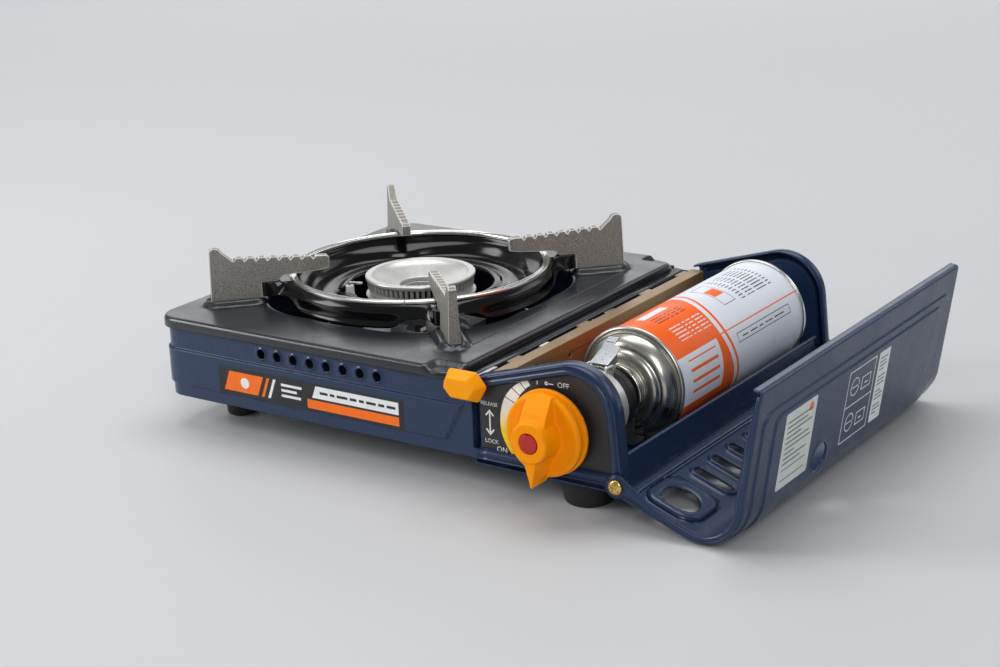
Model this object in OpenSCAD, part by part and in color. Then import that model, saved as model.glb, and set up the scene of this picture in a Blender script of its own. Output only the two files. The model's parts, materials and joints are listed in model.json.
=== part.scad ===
// Single-burner butane cassette stove, shown with its canister lid open.
// Millimetres, +Z up, front towards -Y. Most places are given from the burner axis,
// and at_burner() moves them so that the origin lies under the middle of the whole object.

/* [Case] */
// Distance from the burner axis to the left side of the case
case_left = 112; // [105:1:120]
// Distance from the burner axis to the right side of the case
case_right = 226.6; // [222:0.2:230]
// Depth of the case, front to back
case_d = 256; // [246:1:266]
// Height of the lower edge of the case above the table
case_z = 21; // [18:0.5:24]
// Thickness of the folded sheet steel
sheet = 1.2; // [0.8:0.1:1.6]
// Diameter of each vent hole in the front wall
vent_d = 6.6; // [5:0.2:8]
// Number of vent holes in the front wall
vent_count = 8; // [4:1:10]

/* [Top plate] */
// Height of the top plate above the table
plate_z = 72; // [68:0.5:76]
// Width of the top plate
plate_w = 231; // [225:1:236]
// Depth of the top plate
plate_d = 257; // [248:1:266]
// Height of the raised pads that take the feet of the pan supports
pad_rise = 3.6; // [2:0.2:4]
// Radius of the opening round the burner, without its four bulges
opening_r = 88.5; // [87:0.5:90]

/* [Burner and drip pan] */
// Outer radius of the burner head
head_r = 35.5; // [32:0.5:38]
// Height of the top of the burner head above the table
head_z = 81.2; // [79:0.2:84]
// Number of flame ports round the burner head
port_count = 60; // [36:1:72]
// Outer radius of the steel rim ring of the drip pan
rim_r = 83.5; // [80:0.5:86]
// Height of the top of the rim ring above the table
rim_z = 86.8; // [84:0.2:88]
// Distance from the burner axis to the outer end of each pan support
prong_r = 134; // [128:1:138]
// Height of the horns of the pan supports above the table
prong_z = 108.4; // [104:0.2:112]
// Number of teeth along the top of each pan support
tooth_count = 8; // [5:1:10]

/* [Canister] */
// Distance from the burner axis to the canister axis
can_x = 187.5; // [186:0.5:189]
// Height of the canister axis above the table
can_z = 52; // [51.6:0.1:53]
// Radius of the canister over its seams
can_r = 34; // [33:0.1:34.2]
// Length of the canister between its two seams
can_l = 156; // [150:1:160]

/* [Controls] */
// Distance from the burner axis to the knob axis
knob_x = 182.5; // [180:0.5:185]
// Height of the knob axis above the table
knob_z = 48.2; // [46:0.2:50]
// Radius of the flange of the knob
knob_r = 26; // [22:0.5:27]
// Distance from the burner axis to the slot of the lock lever
lever_x = 130; // [129.6:0.1:130.4]
// Height of the lock lever in its upper position
lever_z = 66.4; // [64:0.2:68]

/* [Lid] */
// Angle of the lid's side panel below the horizontal when the lid is open
lid_droop = 20.5; // [18:0.5:21]
// Turn of the lid's bend
lid_bend = 101.2; // [98:0.2:104]
// Outer radius of the lid's bend
lid_bend_r = 26; // [22:1:30]
// Length of the lid along the hinge
lid_l = 263; // [262.8:0.1:264]

/* [Hidden] */

$fn = 72;
eps = 0.01;

// Frame: the origin lies under the middle of the box round the whole object
half_d = case_d / 2;
lid_half = lid_l / 2;
knob_front = -153.2;
knob_back = -130.5;
screw_back = 134;
plate_left = -113.2;
plate_right = plate_left + plate_w;
lid_side_angle = -lid_droop;
lid_top_angle = lid_bend - lid_droop;
hinge_x = 224;
hinge_z = 24;
lid_offset = 5.56;
lid_side_len = 77.35;
lid_top_len = 101.3;
function dir2(a) = [cos(a), sin(a)];
lid_corner = [hinge_x, hinge_z] + lid_offset * dir2(lid_side_angle - 90)
    + lid_side_len * dir2(lid_side_angle);
lid_tip = lid_corner + lid_top_len * dir2(lid_top_angle);
burner_x = -(plate_left + lid_tip[0]) / 2;
burner_y = -(knob_front + screw_back) / 2;

// Heights of the case
band_lo = case_z + 8;
band_hi = case_z + 31;
case_top = plate_z - 6.6;
plate_under = plate_z - sheet;
step = 1.5;

// Burner group
pad_z = plate_z + pad_rise;
prong_foot_z = pad_z - 1.4;
prong_under_z = rim_z + 1;
pan_top_z = rim_z - 2.2;
lobe_top_z = rim_z - 2.1;
lobe_low_z = pad_z + 0.6;

// Runs inside the case
tube_z = 54.4;
tube_turn = atan(-0.6);
lead_y = -107;
lead_z = 28;

// Canister, from its front seam forward
seam_y = -51.6;
base_y = seam_y + can_l;
flange_r = 17;
neck_r = 14.5;
stem_r = 2.2;
latch_x0 = 179.8;
latch_x1 = 195.8;
latch_z = 72.2;
latch_lean = 20;

// Controls
rim_front = -129.4;
face_y = -126.2;
panel_left = 132.5;
slope = 16;
lean = 4;
corner_r = 28;
panel_low = 22;
panel_shoulder = 71;

module at_burner() translate([burner_x, burner_y, 0]) children();

// Extrudes a shape drawn in the XZ plane from y0 to y1
module xz(y0, y1) translate([0, y1, 0]) rotate([90, 0, 0]) linear_extrude(y1 - y0) children();

// A round body along Y from y0 to y1
module rod_y(x, z, r, y0, y1, fn = 48)
    translate([x, y1, z]) rotate([90, 0, 0]) cylinder(r = r, h = y1 - y0, $fn = fn);

// A round body from point a to point b
module rod(a, b, r, fn = 32) {
    d = b - a;
    l = norm(d);
    translate(a) rotate([0, acos(d[2] / l), atan2(d[1], d[0])]) cylinder(r = r, h = l, $fn = fn);
}

// A round body along the mixing tube, from a to b from the burner axis
module tube_rod(a, b, r)
    translate([0, 0, tube_z]) rotate(tube_turn) translate([a, 0, 0]) rotate([0, 90, 0])
        cylinder(r = r, h = b - a, $fn = 48);

// A solid turned about a line along Y: the profile is drawn as [radius, distance forward of y0]
module turned_y(x, z, y0) translate([x, y0, z]) rotate([90, 0, 0]) rotate_extrude($fn = 96) children();

// A rectangle with round corners of its own radius on the left and on the right
module plan(x0, x1, half, rl, rr) {
    translate([x0 + rl, -half]) square([x1 - x0 - rl - rr, 2 * half]);
    translate([x0, rl - half]) square([rl + eps, 2 * (half - rl)]);
    translate([x1 - rr - eps, rr - half]) square([rr + eps, 2 * (half - rr)]);
    for (s = [-1, 1]) {
        translate([x0 + rl, s * (half - rl)]) circle(r = rl);
        translate([x1 - rr, s * (half - rr)]) circle(r = rr);
    }
}

// A slot with round ends, l long over all and w wide, along X
module slot2d(l, w) {
    square([l - w, w], center = true);
    for (s = [-1, 1]) translate([s * (l - w) / 2, 0]) circle(d = w, $fn = 32);
}

// ---------------------------------------------------------------- case

// One band of the folded wall, set in by i from the widest outline
module wall_band(z0, z1, i) translate([0, 0, z0]) linear_extrude(z1 - z0) difference() {
    plan(i - case_left, case_right - i, half_d - i, 16 - i, 4 - i);
    plan(i + sheet + 1.6 - case_left, case_right - i - sheet, half_d - i - sheet - 1.6, 11, 2);
}

module base_case() color("#2d3a55") at_burner() {
    difference() {
        union() {
            wall_band(case_z, band_lo, step);
            wall_band(band_lo, band_hi, 0);
            wall_band(band_hi, case_top, step);
            // under the top plate the wall reaches its underside
            intersection() {
                wall_band(case_top - eps, plate_under, step);
                difference() {
                    translate([0, 0, case_top - 1]) linear_extrude(10)
                        plan(plate_left + sheet, plate_right - sheet - 1.2, plate_d / 2 - sheet - 0.3, 14.5, 12.5);
                    stepped_corners(sheet, -step_down - sheet);
                }
            }
        }
        // the canister bay beside the case has walls of its own
        translate([panel_left - 0.3, -half_d - 2, case_z - 1]) cube([120, 2 * half_d + 4, 80]);
        // beside the slot of the lock lever the wall stays low
        translate([lever_x - 2.4, -half_d - 2, case_z + 6]) cube([12, 2 * half_d + 4, 80]);
        // the wider band ends in a slanted shoulder
        for (m = [0, 1]) mirror([0, m, 0]) xz(-half_d - 1, step - half_d)
            polygon([[121.8, band_hi + 0.1], [113.3, 36.8], [109, band_lo], [140, band_lo],
                [140, band_hi + 0.1]]);
        // vent holes
        for (i = [0:vent_count - 1])
            rod_y(-27.2 + 12.6 * i, 58.8, vent_d / 2, -half_d - 2, 6 - half_d);
    }
    // rolled lips of the vent holes
    for (i = [0:vent_count - 1]) difference() {
        rod_y(-27.2 + 12.6 * i, 58.8, vent_d / 2 + 0.9, -half_d + 0.6, 2.4 - half_d);
        rod_y(-27.2 + 12.6 * i, 58.8, vent_d / 2, -half_d - 2, 6 - half_d);
    }
    // inner partition beside the bay
    difference() {
        translate([124, 3.2 - half_d, case_z]) cube([sheet, case_d - 6.4, 41]);
        tube_rod(100, 190, 12);
        rod([120, lead_y, lead_z], [130, lead_y, lead_z], 2.4);
    }
}

module bottom_plate() color("#b9bcc0") at_burner() difference() {
    translate([-109, 3.6 - half_d, case_z - 1]) cube([235, case_d - 7.2, 1]);
    for (row = [-1, 1], i = [-3:3])
        translate([24 * i + 6, row * 62, case_z - 2]) linear_extrude(4) rotate(90) slot2d(44, 7);
    translate([0, 0, case_z - 2]) cylinder(r = 9, h = 4);
}

module compartment_floor() color("#2a3550") at_burner() {
    translate([126, 4.4 - half_d, 16.2]) cube([97.4, case_d - 8.8, sheet]);
    translate([126, 4.4 - half_d, 16.2]) cube([sheet, case_d - 8.8, case_z - 16.2]);
    // ribs across the floor that cradle the canister
    for (y = [-30, 30, 84], side = [-1, 1])
        xz(y - 4, y + 4) intersection() {
            difference() {
                translate([can_x + side * 14, 17.4]) square([26, 14], center = true);
                translate([can_x, can_z]) circle(r = can_r + 0.5);
            }
            translate([can_x - 27, 17.3]) square([54, 8]);
        }
}

module canister_rail() color("#2d3a55") at_burner() {
    translate([case_right - 5.2, 12 - half_d, 17.4]) cube([sheet, case_d - 24, 19]);
    // rolled top edge
    rod_y(case_right - 4.6, 36.6, 1.3, 12 - half_d, half_d - 12, 24);
}

module heat_shield() color("#b08d4f") at_burner() difference() {
    union() {
        translate([140.4, 10 - half_d, 17.4]) cube([sheet, case_d - 20, 52]);
        // folded top edge, with tabs that reach towards the plate
        translate([132.8, 10 - half_d, 68.2]) cube([8.2, case_d - 20, sheet]);
        for (y = [-94, -20, 54, 100]) translate([130.2, y, 68.2]) cube([3, 12, sheet]);
    }
    // ways through for the mixing tube, the igniter lead and the link of the lock
    tube_rod(100, 190, 11.4);
    rod([136, lead_y, lead_z], [146, lead_y, lead_z], 2.4);
    translate([138, -74, 20.5]) cube([6, 13, 15]);
    for (y = [-85, -45, 30, 70]) translate([138, y, 60]) rotate([0, 90, 0]) cylinder(d = 3, h = 8, $fn = 24);
}

module shield_clips() color("silver") at_burner() for (y = [-59, 15]) {
    translate([129.7, y, 67.1]) cube([10, 9, 0.9]);
    translate([128.8, y, 61]) cube([0.9, 9, 7]);
    translate([127.3, y, 60.2]) cube([2.4, 9, 0.9]);
}

// A foot of radius r under a floor at height h
module foot(x, y, h, r) color("#17181a") at_burner() translate([x, y, 0]) difference() {
    rotate_extrude() polygon([[0, 0], [r - 2, 0], [r - 0.6, 0.6], [r, 2], [r + 1.2, h - 3], [r + 1.2, h],
        [0, h]]);
    translate([0, 0, -1]) cylinder(r = 3.9, h = h - 2);
    translate([0, 0, h - 4]) cylinder(r = 2.2, h = 5, $fn = 32);
}

foot_left = [-82, 88];
foot_right = [190, 104];
module foot_front_left() foot(foot_left[0], -foot_left[1], case_z - 1, 9.6);
module foot_front_right() foot(foot_right[0], -foot_right[1], 16.2, 14.2);
module foot_rear_left() foot(foot_left[0], foot_left[1], case_z - 1, 9.6);
module foot_rear_right() foot(foot_right[0], foot_right[1], 16.2, 14.2);

module foot_screws() color("silver") at_burner()
    for (f = [[foot_left, case_z - 1], [foot_right, 16.2]], s = [-1, 1])
        translate([f[0][0], s * f[0][1], f[1]]) {
            translate([0, 0, -5.4]) cylinder(r = 3.6, h = 2.4, $fn = 32);
            translate([0, 0, -3.2]) cylinder(r = 2.15, h = 3.2, $fn = 32);
        }

// ---------------------------------------------------------------- top plate

module each_diagonal() for (a = [45, 135, 225, 315]) rotate(a) children();

// The opening round the burner bulges under the four pan supports
module opening2d(i) {
    circle(r = opening_r - i, $fn = 144);
    each_diagonal() translate([38, 0]) circle(r = 60 - i, $fn = 144);
}

// The front and rear corners beside the canister bay are stepped down, drawn out by o from height z
step_down = 2.6;
module stepped_corners(o, z) for (m = [0, 1]) mirror([0, m, 0])
    translate([plate_right - 20 - o, -plate_d / 2 - 1, plate_z + z]) cube([22 + o, 13 + o, 8]);

module top_plate() color("#4a4d51") at_burner() difference() {
    union() {
        // plate and its turned-down edge
        difference() {
            translate([0, 0, plate_z - 6.5]) linear_extrude(6.5)
                plan(plate_left, plate_right, plate_d / 2, 16, 14);
            difference() {
                translate([0, 0, plate_z - 7]) linear_extrude(7 - sheet)
                    plan(plate_left + sheet, plate_right - sheet, plate_d / 2 - sheet, 14.8, 12.8);
                stepped_corners(sheet, -step_down - sheet);
            }
        }
        // low flange along the canister bay
        translate([plate_right - 14, 5 - plate_d / 2, plate_z - 6.5]) cube([20, plate_d - 10, sheet]);
        // turned-down lip of the opening
        translate([0, 0, plate_z - 5]) linear_extrude(5 - eps) opening2d(-sheet);
        // raised pads for the feet of the pan supports
        each_diagonal() translate([118, 0, plate_z - sheet]) linear_extrude(pad_rise + sheet) slot2d(41, 19);
        // crease beside the opening
        translate([99.6, -98, plate_z - eps]) cube([1.2, 196, 0.5]);
    }
    translate([0, 0, plate_z - 8]) linear_extrude(20) opening2d(0);
    stepped_corners(0, -step_down);
    // pockets of the feet, and the hollow of the pads below them
    each_diagonal() {
        translate([117.6, 0, prong_foot_z]) linear_extrude(5) slot2d(37.2, 9.8);
        translate([118, 0, plate_z - 2]) linear_extrude(prong_foot_z - sheet - plate_z + 2)
            slot2d(38.6, 16.6);
    }
}

// ---------------------------------------------------------------- bulkheads and control plate

// Outline of a bulkhead in XZ, drawn in by i, or by left on its left side:
// straight sides and one round shoulder
module bulkhead2d(i, left = -1) {
    right_n = dir2(lean);
    top_n = dir2(90 + slope);
    right_d = right_n * [case_right + 0.2, panel_low] - corner_r;
    top_d = top_n * [panel_left, panel_shoulder] - corner_r;
    det = right_n[0] * top_n[1] - right_n[1] * top_n[0];
    o = [right_d * top_n[1] - top_d * right_n[1], top_d * right_n[0] - right_d * top_n[0]] / det;
    r = corner_r - i;
    x0 = panel_left + (left < 0 ? i : left);
    z0 = panel_low + i;
    shoulder = (top_d + corner_r - i - top_n[0] * x0) / top_n[1];
    foot_x = (right_d + corner_r - i - right_n[1] * z0) / right_n[0];
    polygon([[x0, z0], [foot_x, z0], o + r * right_n, o, o + r * top_n, [x0, shoulder]]);
    translate(o) circle(r = r, $fn = 96);
}

// A pressed end panel: rim with two beads, recessed face and turned-back edge, facing -Y
module bulkhead() difference() {
    union() {
        xz(rim_front + 0.4, rim_front + 9) bulkhead2d(0);
        xz(rim_front - 0.4, rim_front + 1) difference() {
            bulkhead2d(0.3, 0.3);
            bulkhead2d(1.9, 0.2);
        }
        xz(rim_front - 0.5, rim_front + 1) difference() {
            bulkhead2d(3, 0.3);
            bulkhead2d(6.1, 0.2);
        }
        rod_y(hinge_x, hinge_z, 3.6, rim_front, rim_front + 9, 32);
    }
    xz(rim_front - 2, face_y) bulkhead2d(6.5, sheet);
    difference() {
        union() {
            xz(face_y + sheet, rim_front + 12) bulkhead2d(sheet);
            xz(rim_front + 0.4 + sheet, rim_front + 12) difference() {
                bulkhead2d(sheet);
                bulkhead2d(6.5 - sheet, 0);
            }
        }
        rod_y(hinge_x, hinge_z, 3.6, rim_front, rim_front + 9, 32);
    }
    rod_y(hinge_x, hinge_z, 2.06, rim_front - 1, rim_front + 12, 32);
}

module front_bulkhead() color("#2b3856") at_burner() difference() {
    bulkhead();
    rod_y(knob_x, knob_z, 8, rim_front - 1, rim_front + 12);
    // cut away beside the slot of the lock lever
    translate([panel_left - 1, rim_front + 4, 30]) cube([2.6, 10, 34]);
}

module rear_bulkhead() color("#1c2436") at_burner() mirror([0, 1, 0]) bulkhead();

module control_plate() color("#3a3a3c") at_burner() difference() {
    xz(face_y - 0.8, face_y) bulkhead2d(6.8, sheet + 0.3);
    rod_y(knob_x, knob_z, 8, face_y - 2, face_y + 2);
}

// ---------------------------------------------------------------- burner

module burner_head() color("#b4b2ad") at_burner() difference() {
    union() {
        rotate_extrude($fn = 120) polygon([
            [13.6, head_z - 10], [13.6, head_z - 7.4], [15.2, head_z - 6.8], [29, head_z - 2.2],
            [30.6, head_z - 0.7], [31.2, head_z], [head_r - 0.6, head_z], [head_r, head_z - 0.6],
            [head_r, head_z - 2.2], [head_r - 0.9, head_z - 2.8], [head_r - 1.4, head_z - 8.4],
            [head_r - 2.4, head_z - 10], [head_r - 2.4, head_z - 12],
            [head_r - 5.4, head_z - 12], [head_r - 5.4, head_z - 6], [18, head_z - 8.8], [17, head_z - 10]]);
    }
    // flame ports
    for (i = [0:port_count - 1]) rotate(i * 360 / port_count)
        translate([head_r - 6, -0.8, head_z - 8.2]) cube([8, 1.6, 5.2]);
}

module burner_base() color("#8d8b86") at_burner() {
    // mixing bowl under the head, open in the middle for secondary air
    rotate_extrude($fn = 96) polygon([
        [12.2, head_z - 10], [12.2, 50], [13.6, 50], [14.6, 53], [25, 53], [30, 60], [33, head_z - 14],
        [head_r, head_z - 13], [head_r, head_z - 12.05], [head_r - 5.5, head_z - 12.05],
        [head_r - 5.5, head_z - 14], [27.6, 61], [23.6, 55.4], [14.6, 55.4], [13.55, 58],
        [13.55, head_z - 10]]);
    // neck that takes the mixing tube
    difference() {
        tube_rod(30, 54, 10.4);
        tube_rod(29, 55, 8.05);
        cylinder(r = 27.4, h = 100);
    }
    // three legs down to the bracket
    for (a = [90, 210, 330]) rotate(a) translate([19, 0, 44]) cylinder(r = 3, h = 10, $fn = 32);
}

module burner_bracket() color("#9a9da1") at_burner() {
    difference() {
        translate([-34, -26, 42.8]) cube([60, 60, sheet]);
        translate([0, 0, 40]) cylinder(r = 11, h = 6);
    }
    for (x = [-34, 26 - sheet]) translate([x, -26, case_z]) cube([sheet, 60, 23]);
}

module mixing_tube() color("#a5a8ab") at_burner() difference() {
    union() {
        tube_rod(37.3, 154, 8);
        tube_rod(145, 167, 10);
    }
    tube_rod(36, 156, 6.6);
    tube_rod(147, 168, 8.4);
    // air window in the side of the cup
    translate([0, 0, tube_z]) rotate(tube_turn) translate([152, -14, -3.5]) cube([9, 28, 7]);
}

module gas_jet() color("#c9a24a") at_burner() {
    tube_rod(160, 177.3, 3.2);
    tube_rod(169, 173, 5);
}

electrode_x = -31.5;
electrode_y = -33.5;
module igniter_electrode() color("#ece8df") at_burner() translate([electrode_x, electrode_y, 0])
    difference() {
    rotate_extrude($fn = 48) polygon([[0, 60], [3, 60], [3, 66], [4.2, 66.5], [4.2, 69.5], [3, 70],
        [2.6, 77], [0, 77]]);
    translate([0, 0, 58]) cylinder(r = 1.05, h = 22, $fn = 24);
}

module electrode_pin() color("#8f9296") at_burner() translate([electrode_x, electrode_y, 0]) {
    translate([0, 0, 57]) cylinder(r = 1, h = 22, $fn = 24);
    rod([0, 0, 78.6], [6, 5.4, 77.6], 0.8, 24);
    // the stay that carries the insulator on the burner
    difference() {
        translate([3.1, -3, 62]) rotate(40) cube([12, 8, 1.2]);
        translate([0, 0, 60]) cylinder(r = 3.05, h = 6);
    }
}

// ---------------------------------------------------------------- ignition lead, a thin swept tube

lead_r = 1.3;
lead_route = [[-31.5, -33.5, 57], [-31.5, -33.5, 50], [-28, -38, 42], [-14, -52, 34], [12, -70, 29],
    [44, -86, 28], [78, -98, 28], [108, lead_y, lead_z], [121, lead_y, lead_z], [134, lead_y, lead_z],
    [146.5, lead_y, lead_z]];
lead_sides = 8;

function unit(v) = v / norm(v);
function tangent(p, i) = unit(p[min(i + 1, len(p) - 1)] - p[max(i - 1, 0)]);
function ring_side(t) = unit(cross(t, abs(t[2]) > 0.9 ? [1, 0, 0] : [0, 0, 1]));
function ring_at(p, i, r, n) = let (t = tangent(p, i), u = ring_side(t), v = cross(t, u))
    [for (k = [0:n - 1]) p[i] + r * (cos(360 * k / n) * u + sin(360 * k / n) * v)];

// A closed tube of n sides round the points of a route
module tube(p, r, n) {
    m = len(p);
    points = [for (i = [0:m - 1]) each ring_at(p, i, r, n)];
    faces = concat(
        [[for (k = [0:n - 1]) k]], [[for (k = [n - 1:-1:0]) (m - 1) * n + k]],
        [for (i = [0:m - 2], k = [0:n - 1]) [i * n + k, (i + 1) * n + k, (i + 1) * n + (k + 1) % n]],
        [for (i = [0:m - 2], k = [0:n - 1]) [i * n + k, (i + 1) * n + (k + 1) % n, i * n + (k + 1) % n]]);
    polyhedron(points, faces, convexity = 6);
}

// The lead's corners are rounded by three passes of corner cutting
function cut_corners(p, n) = n == 0 ? p : cut_corners(
    concat([p[0]], [for (i = [1:len(p) - 2]) each [0.25 * p[i - 1] + 0.75 * p[i],
        0.75 * p[i] + 0.25 * p[i + 1]]],
    [p[len(p) - 1]]), n - 1);

module igniter_lead() color("#c8452e") at_burner() tube(cut_corners(lead_route, 1), lead_r, lead_sides);

module piezo_igniter() color("#26282b") at_burner() {
    translate([146.5, -118, 21]) cube([11, 24, 16]);
    translate([146.5, -112, 17.4]) cube([11, 12, 3.6]);
    rod_y(152, 29, 3.6, -122.6, -118, 32);
}

// ---------------------------------------------------------------- regulator and canister seat

module regulator_body() color("#9fa1a3") at_burner() difference() {
    union() {
        rod_y(can_x, can_z, 21, -104, -90, 72);
        rod_y(knob_x, knob_z, 11, -116, -104, 48);
        rod_y(can_x, can_z, 14, -90, -84, 48);
        tube_rod(175, 198, 6.5);
        // ears that carry the pin of the latch tab
        for (x = [latch_x0, latch_x1 - 1.6]) {
            translate([x, -92, 64]) cube([1.6, 7, 10.6]);
            translate([x, -85, latch_z]) rotate([0, 90, 0]) cylinder(r = 2.4, h = 1.6, $fn = 32);
        }
    }
    rod_y(knob_x, knob_z, 3.05, -118, -106, 32);
    tube_rod(170, 177.3, 3.2);
    translate([latch_x0 - 2, -85, latch_z]) rotate([0, 90, 0]) cylinder(r = 1.1, h = 22, $fn = 32);
    rod_y(can_x, can_z, 2.8, -90, -80, 32);
}

module regulator_cover() color("#c2c4c5") at_burner() difference() {
    turned_y(can_x, can_z, -104) polygon([[13, 0], [20, 0], [20, 1.6], [17.6, 4], [13, 4]]);
    rod_y(knob_x, knob_z, 12.2, -120, -100, 48);
    tube_rod(170, 200, 6.7);
}

module regulator_bracket() color("#85888c") at_burner() difference() {
    union() {
        translate([160, -108, 17.4]) cube([54, 4, 22]);
        translate([160, -108, 17.4]) cube([54, 14, 1.4]);
    }
    rod_y(knob_x, knob_z, 11.1, -120, -100, 48);
    rod_y(can_x, can_z, 20.2, -109, -104, 72);
}

module canister_socket() color("#1b1c1e") at_burner() difference() {
    turned_y(can_x, can_z, -74.8) polygon([[0, 0], [13.5, 0], [14, 1], [18.4, 2], [18.4, 6], [16, 9.2],
        [0, 9.2]]);
    rod_y(can_x, can_z, 2.8, -90, -70, 32);
}

module latch_pin() color("silver") at_burner()
    translate([latch_x0 - 0.6, -85, latch_z]) rotate([0, 90, 0])
        cylinder(r = 1.05, h = latch_x1 - latch_x0 + 1.2, $fn = 32);

// The tab leans back over the dome of the canister
module latch_tab() color("#c9c9c4") at_burner() translate([0, -85, latch_z]) rotate([latch_lean, 0, 0])
    difference() {
    union() {
        translate([0, 0, 2.4]) linear_extrude(1.2) polygon([[latch_x0 + 2.2, -1.4], [latch_x1 - 2.2, -1.4],
            [latch_x1 - 2.2, 9], [latch_x1 - 3.6, 15.4], [187.6, 17], [187.2, 23.6], [180.6, 23.6],
            [180.6, 16], [latch_x0 + 2.2, 12]]);
        // folded side and stepped tip
        translate([latch_x1 - 3.4, 1.2, -1.6]) cube([1.2, 7.8, 4.6]);
        translate([181.6, 18, 3.4]) cube([5, 4.6, 0.8]);
        // knuckles round the pin
        for (x = [latch_x0 + 2.2, latch_x1 - 3.8]) translate([x, 0, 0]) rotate([0, 90, 0])
            cylinder(r = 2.9, h = 1.6, $fn = 32);
    }
    translate([latch_x0, 0, 0]) rotate([0, 90, 0]) cylinder(r = 1.15, h = 20, $fn = 32);
}

// Torsion spring round the latch pin: one unbroken wire
spring_r = 1.7;
spring_wire = 0.28;
spring_curls = 5;
spring_pitch = 1.05;
spring_rings = 8;
spring_x = latch_x0 + 4.8;
spring_route = [for (i = [0:spring_curls * spring_rings])
    let (a = 360 * i / spring_rings)
    [spring_x + spring_pitch * i / spring_rings, -85 + spring_r * cos(a), latch_z + spring_r * sin(a)]];
spring_gap = min([for (i = [0:len(spring_route) - 1], j = [i + spring_rings / 2:len(spring_route) - 1])
    norm(spring_route[i] - spring_route[j])]) - 2 * spring_wire;
echo(least_gap_of_spring_to_itself = spring_gap);
module latch_spring() color("#d0d0d0") at_burner() tube(spring_route, spring_wire, 6);

// ---------------------------------------------------------------- drip pan and pan supports

lobe_nose = 101.4;
lobe_r = 7;
// Outline of the lobe that carries one pan support, drawn in by i
module lobe2d(i) {
    c = lobe_nose - lobe_r;
    a = 24;
    polygon([(rim_r - 4) * dir2(-a), (rim_r - 1 - i) * dir2(-a), [c, i - lobe_r], [c, lobe_r - i],
        (rim_r - 1 - i) * dir2(a), (rim_r - 4) * dir2(a)]);
    translate([c, 0]) circle(r = lobe_r - i);
}

module drip_pan() color("#141517") at_burner() {
    difference() {
        // bowl, edge in the rim ring and outer skirt as one folded sheet
        rotate_extrude($fn = 144) polygon([
            [rim_r - 2.8, pan_top_z + 0.4], [rim_r - 2.8, rim_z - 4.6], [rim_r - 0.9, rim_z - 5.6],
            [rim_r + 0.7, rim_z - 7], [rim_r + 3, plate_z - 1], [rim_r + 1.8, plate_z - 1],
            [rim_r - 0.5, rim_z - 7.6], [rim_r - 4.4, rim_z - 7.6], [rim_r - 5.2, pan_top_z - 7],
            [rim_r - 8, plate_z - 0.4], [rim_r - 12, plate_z - 2.4], [rim_r - 17, plate_z - 2],
            [rim_r - 19, plate_z - 0.6], [55, plate_z + 0.8], [52.8, plate_z - 0.4], [48, plate_z + 0.4],
            [47.2, plate_z - 1.4], [46, plate_z - 1], [47, plate_z + 1.6], [52.4, plate_z + 0.9],
            [54.6, plate_z + 2.1], [rim_r - 18.4, plate_z + 0.6], [rim_r - 16.4, plate_z - 0.8],
            [rim_r - 12.4, plate_z - 1.2], [rim_r - 9.4, plate_z + 0.4], [rim_r - 6.6, pan_top_z - 6.4],
            [rim_r - 5.2, pan_top_z - 4], [rim_r - 4, pan_top_z - 2.4], [rim_r - 4, pan_top_z + 0.4]]);
        // the lobes open into the skirt, and the igniter comes up through the bowl
        each_diagonal() translate([0, 0, lobe_low_z]) linear_extrude(lobe_top_z - lobe_low_z - sheet)
            intersection() {
                lobe2d(sheet);
                translate([rim_r - 1, -20]) square([40, 40]);
            }
        translate([electrode_x, electrode_y, plate_z - 4]) cylinder(r = 5, h = 10);
    }
    each_diagonal() difference() {
        union() {
            translate([0, 0, lobe_low_z]) linear_extrude(lobe_top_z - lobe_low_z) difference() {
                lobe2d(0);
                lobe2d(sheet);
                circle(r = rim_r + 1.2, $fn = 144);
            }
            translate([0, 0, rim_z - 6.6]) linear_extrude(lobe_top_z - rim_z + 6.6) intersection() {
                lobe2d(0);
                difference() {
                    circle(r = rim_r + 1.4, $fn = 144);
                    circle(r = rim_r + 0.2, $fn = 144);
                }
            }
            translate([0, 0, lobe_top_z - sheet]) linear_extrude(sheet) difference() {
                lobe2d(0);
                circle(r = rim_r + 0.8, $fn = 144);
            }
        }
        // oval air hole in each side of the lobe
        for (s = [-1, 1]) translate([89.5, s * 16, lobe_low_z + 4.1]) rotate([90, 0, s * 62])
            scale([1.5, 1, 1]) translate([0, 0, -5]) cylinder(r = 2.4, h = 10, $fn = 32);
        // hole for the rivet
        translate([96, 0, lobe_top_z - 4]) cylinder(r = 1.6, h = 8, $fn = 32);
    }
}

module pan_rim_ring() color("#c9cbcd") at_burner() difference() {
    rotate_extrude($fn = 144) translate([rim_r - 2.2, rim_z - 2.2]) circle(r = 2.2, $fn = 32);
    // groove that takes the edge of the pan
    rotate_extrude($fn = 144) translate([rim_r - 4.1, rim_z - 6]) square([1.4, 4.25]);
    // gap where the ends of the ring meet
    rotate(300) translate([rim_r - 5, -0.3, rim_z - 5]) cube([6, 0.6, 6]);
}

tip_r = 58.4;
leg_r = 101.6;
horn_r = prong_r - 8;
tooth_pitch = (horn_r - 6 - tip_r - 4) / tooth_count;
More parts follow.
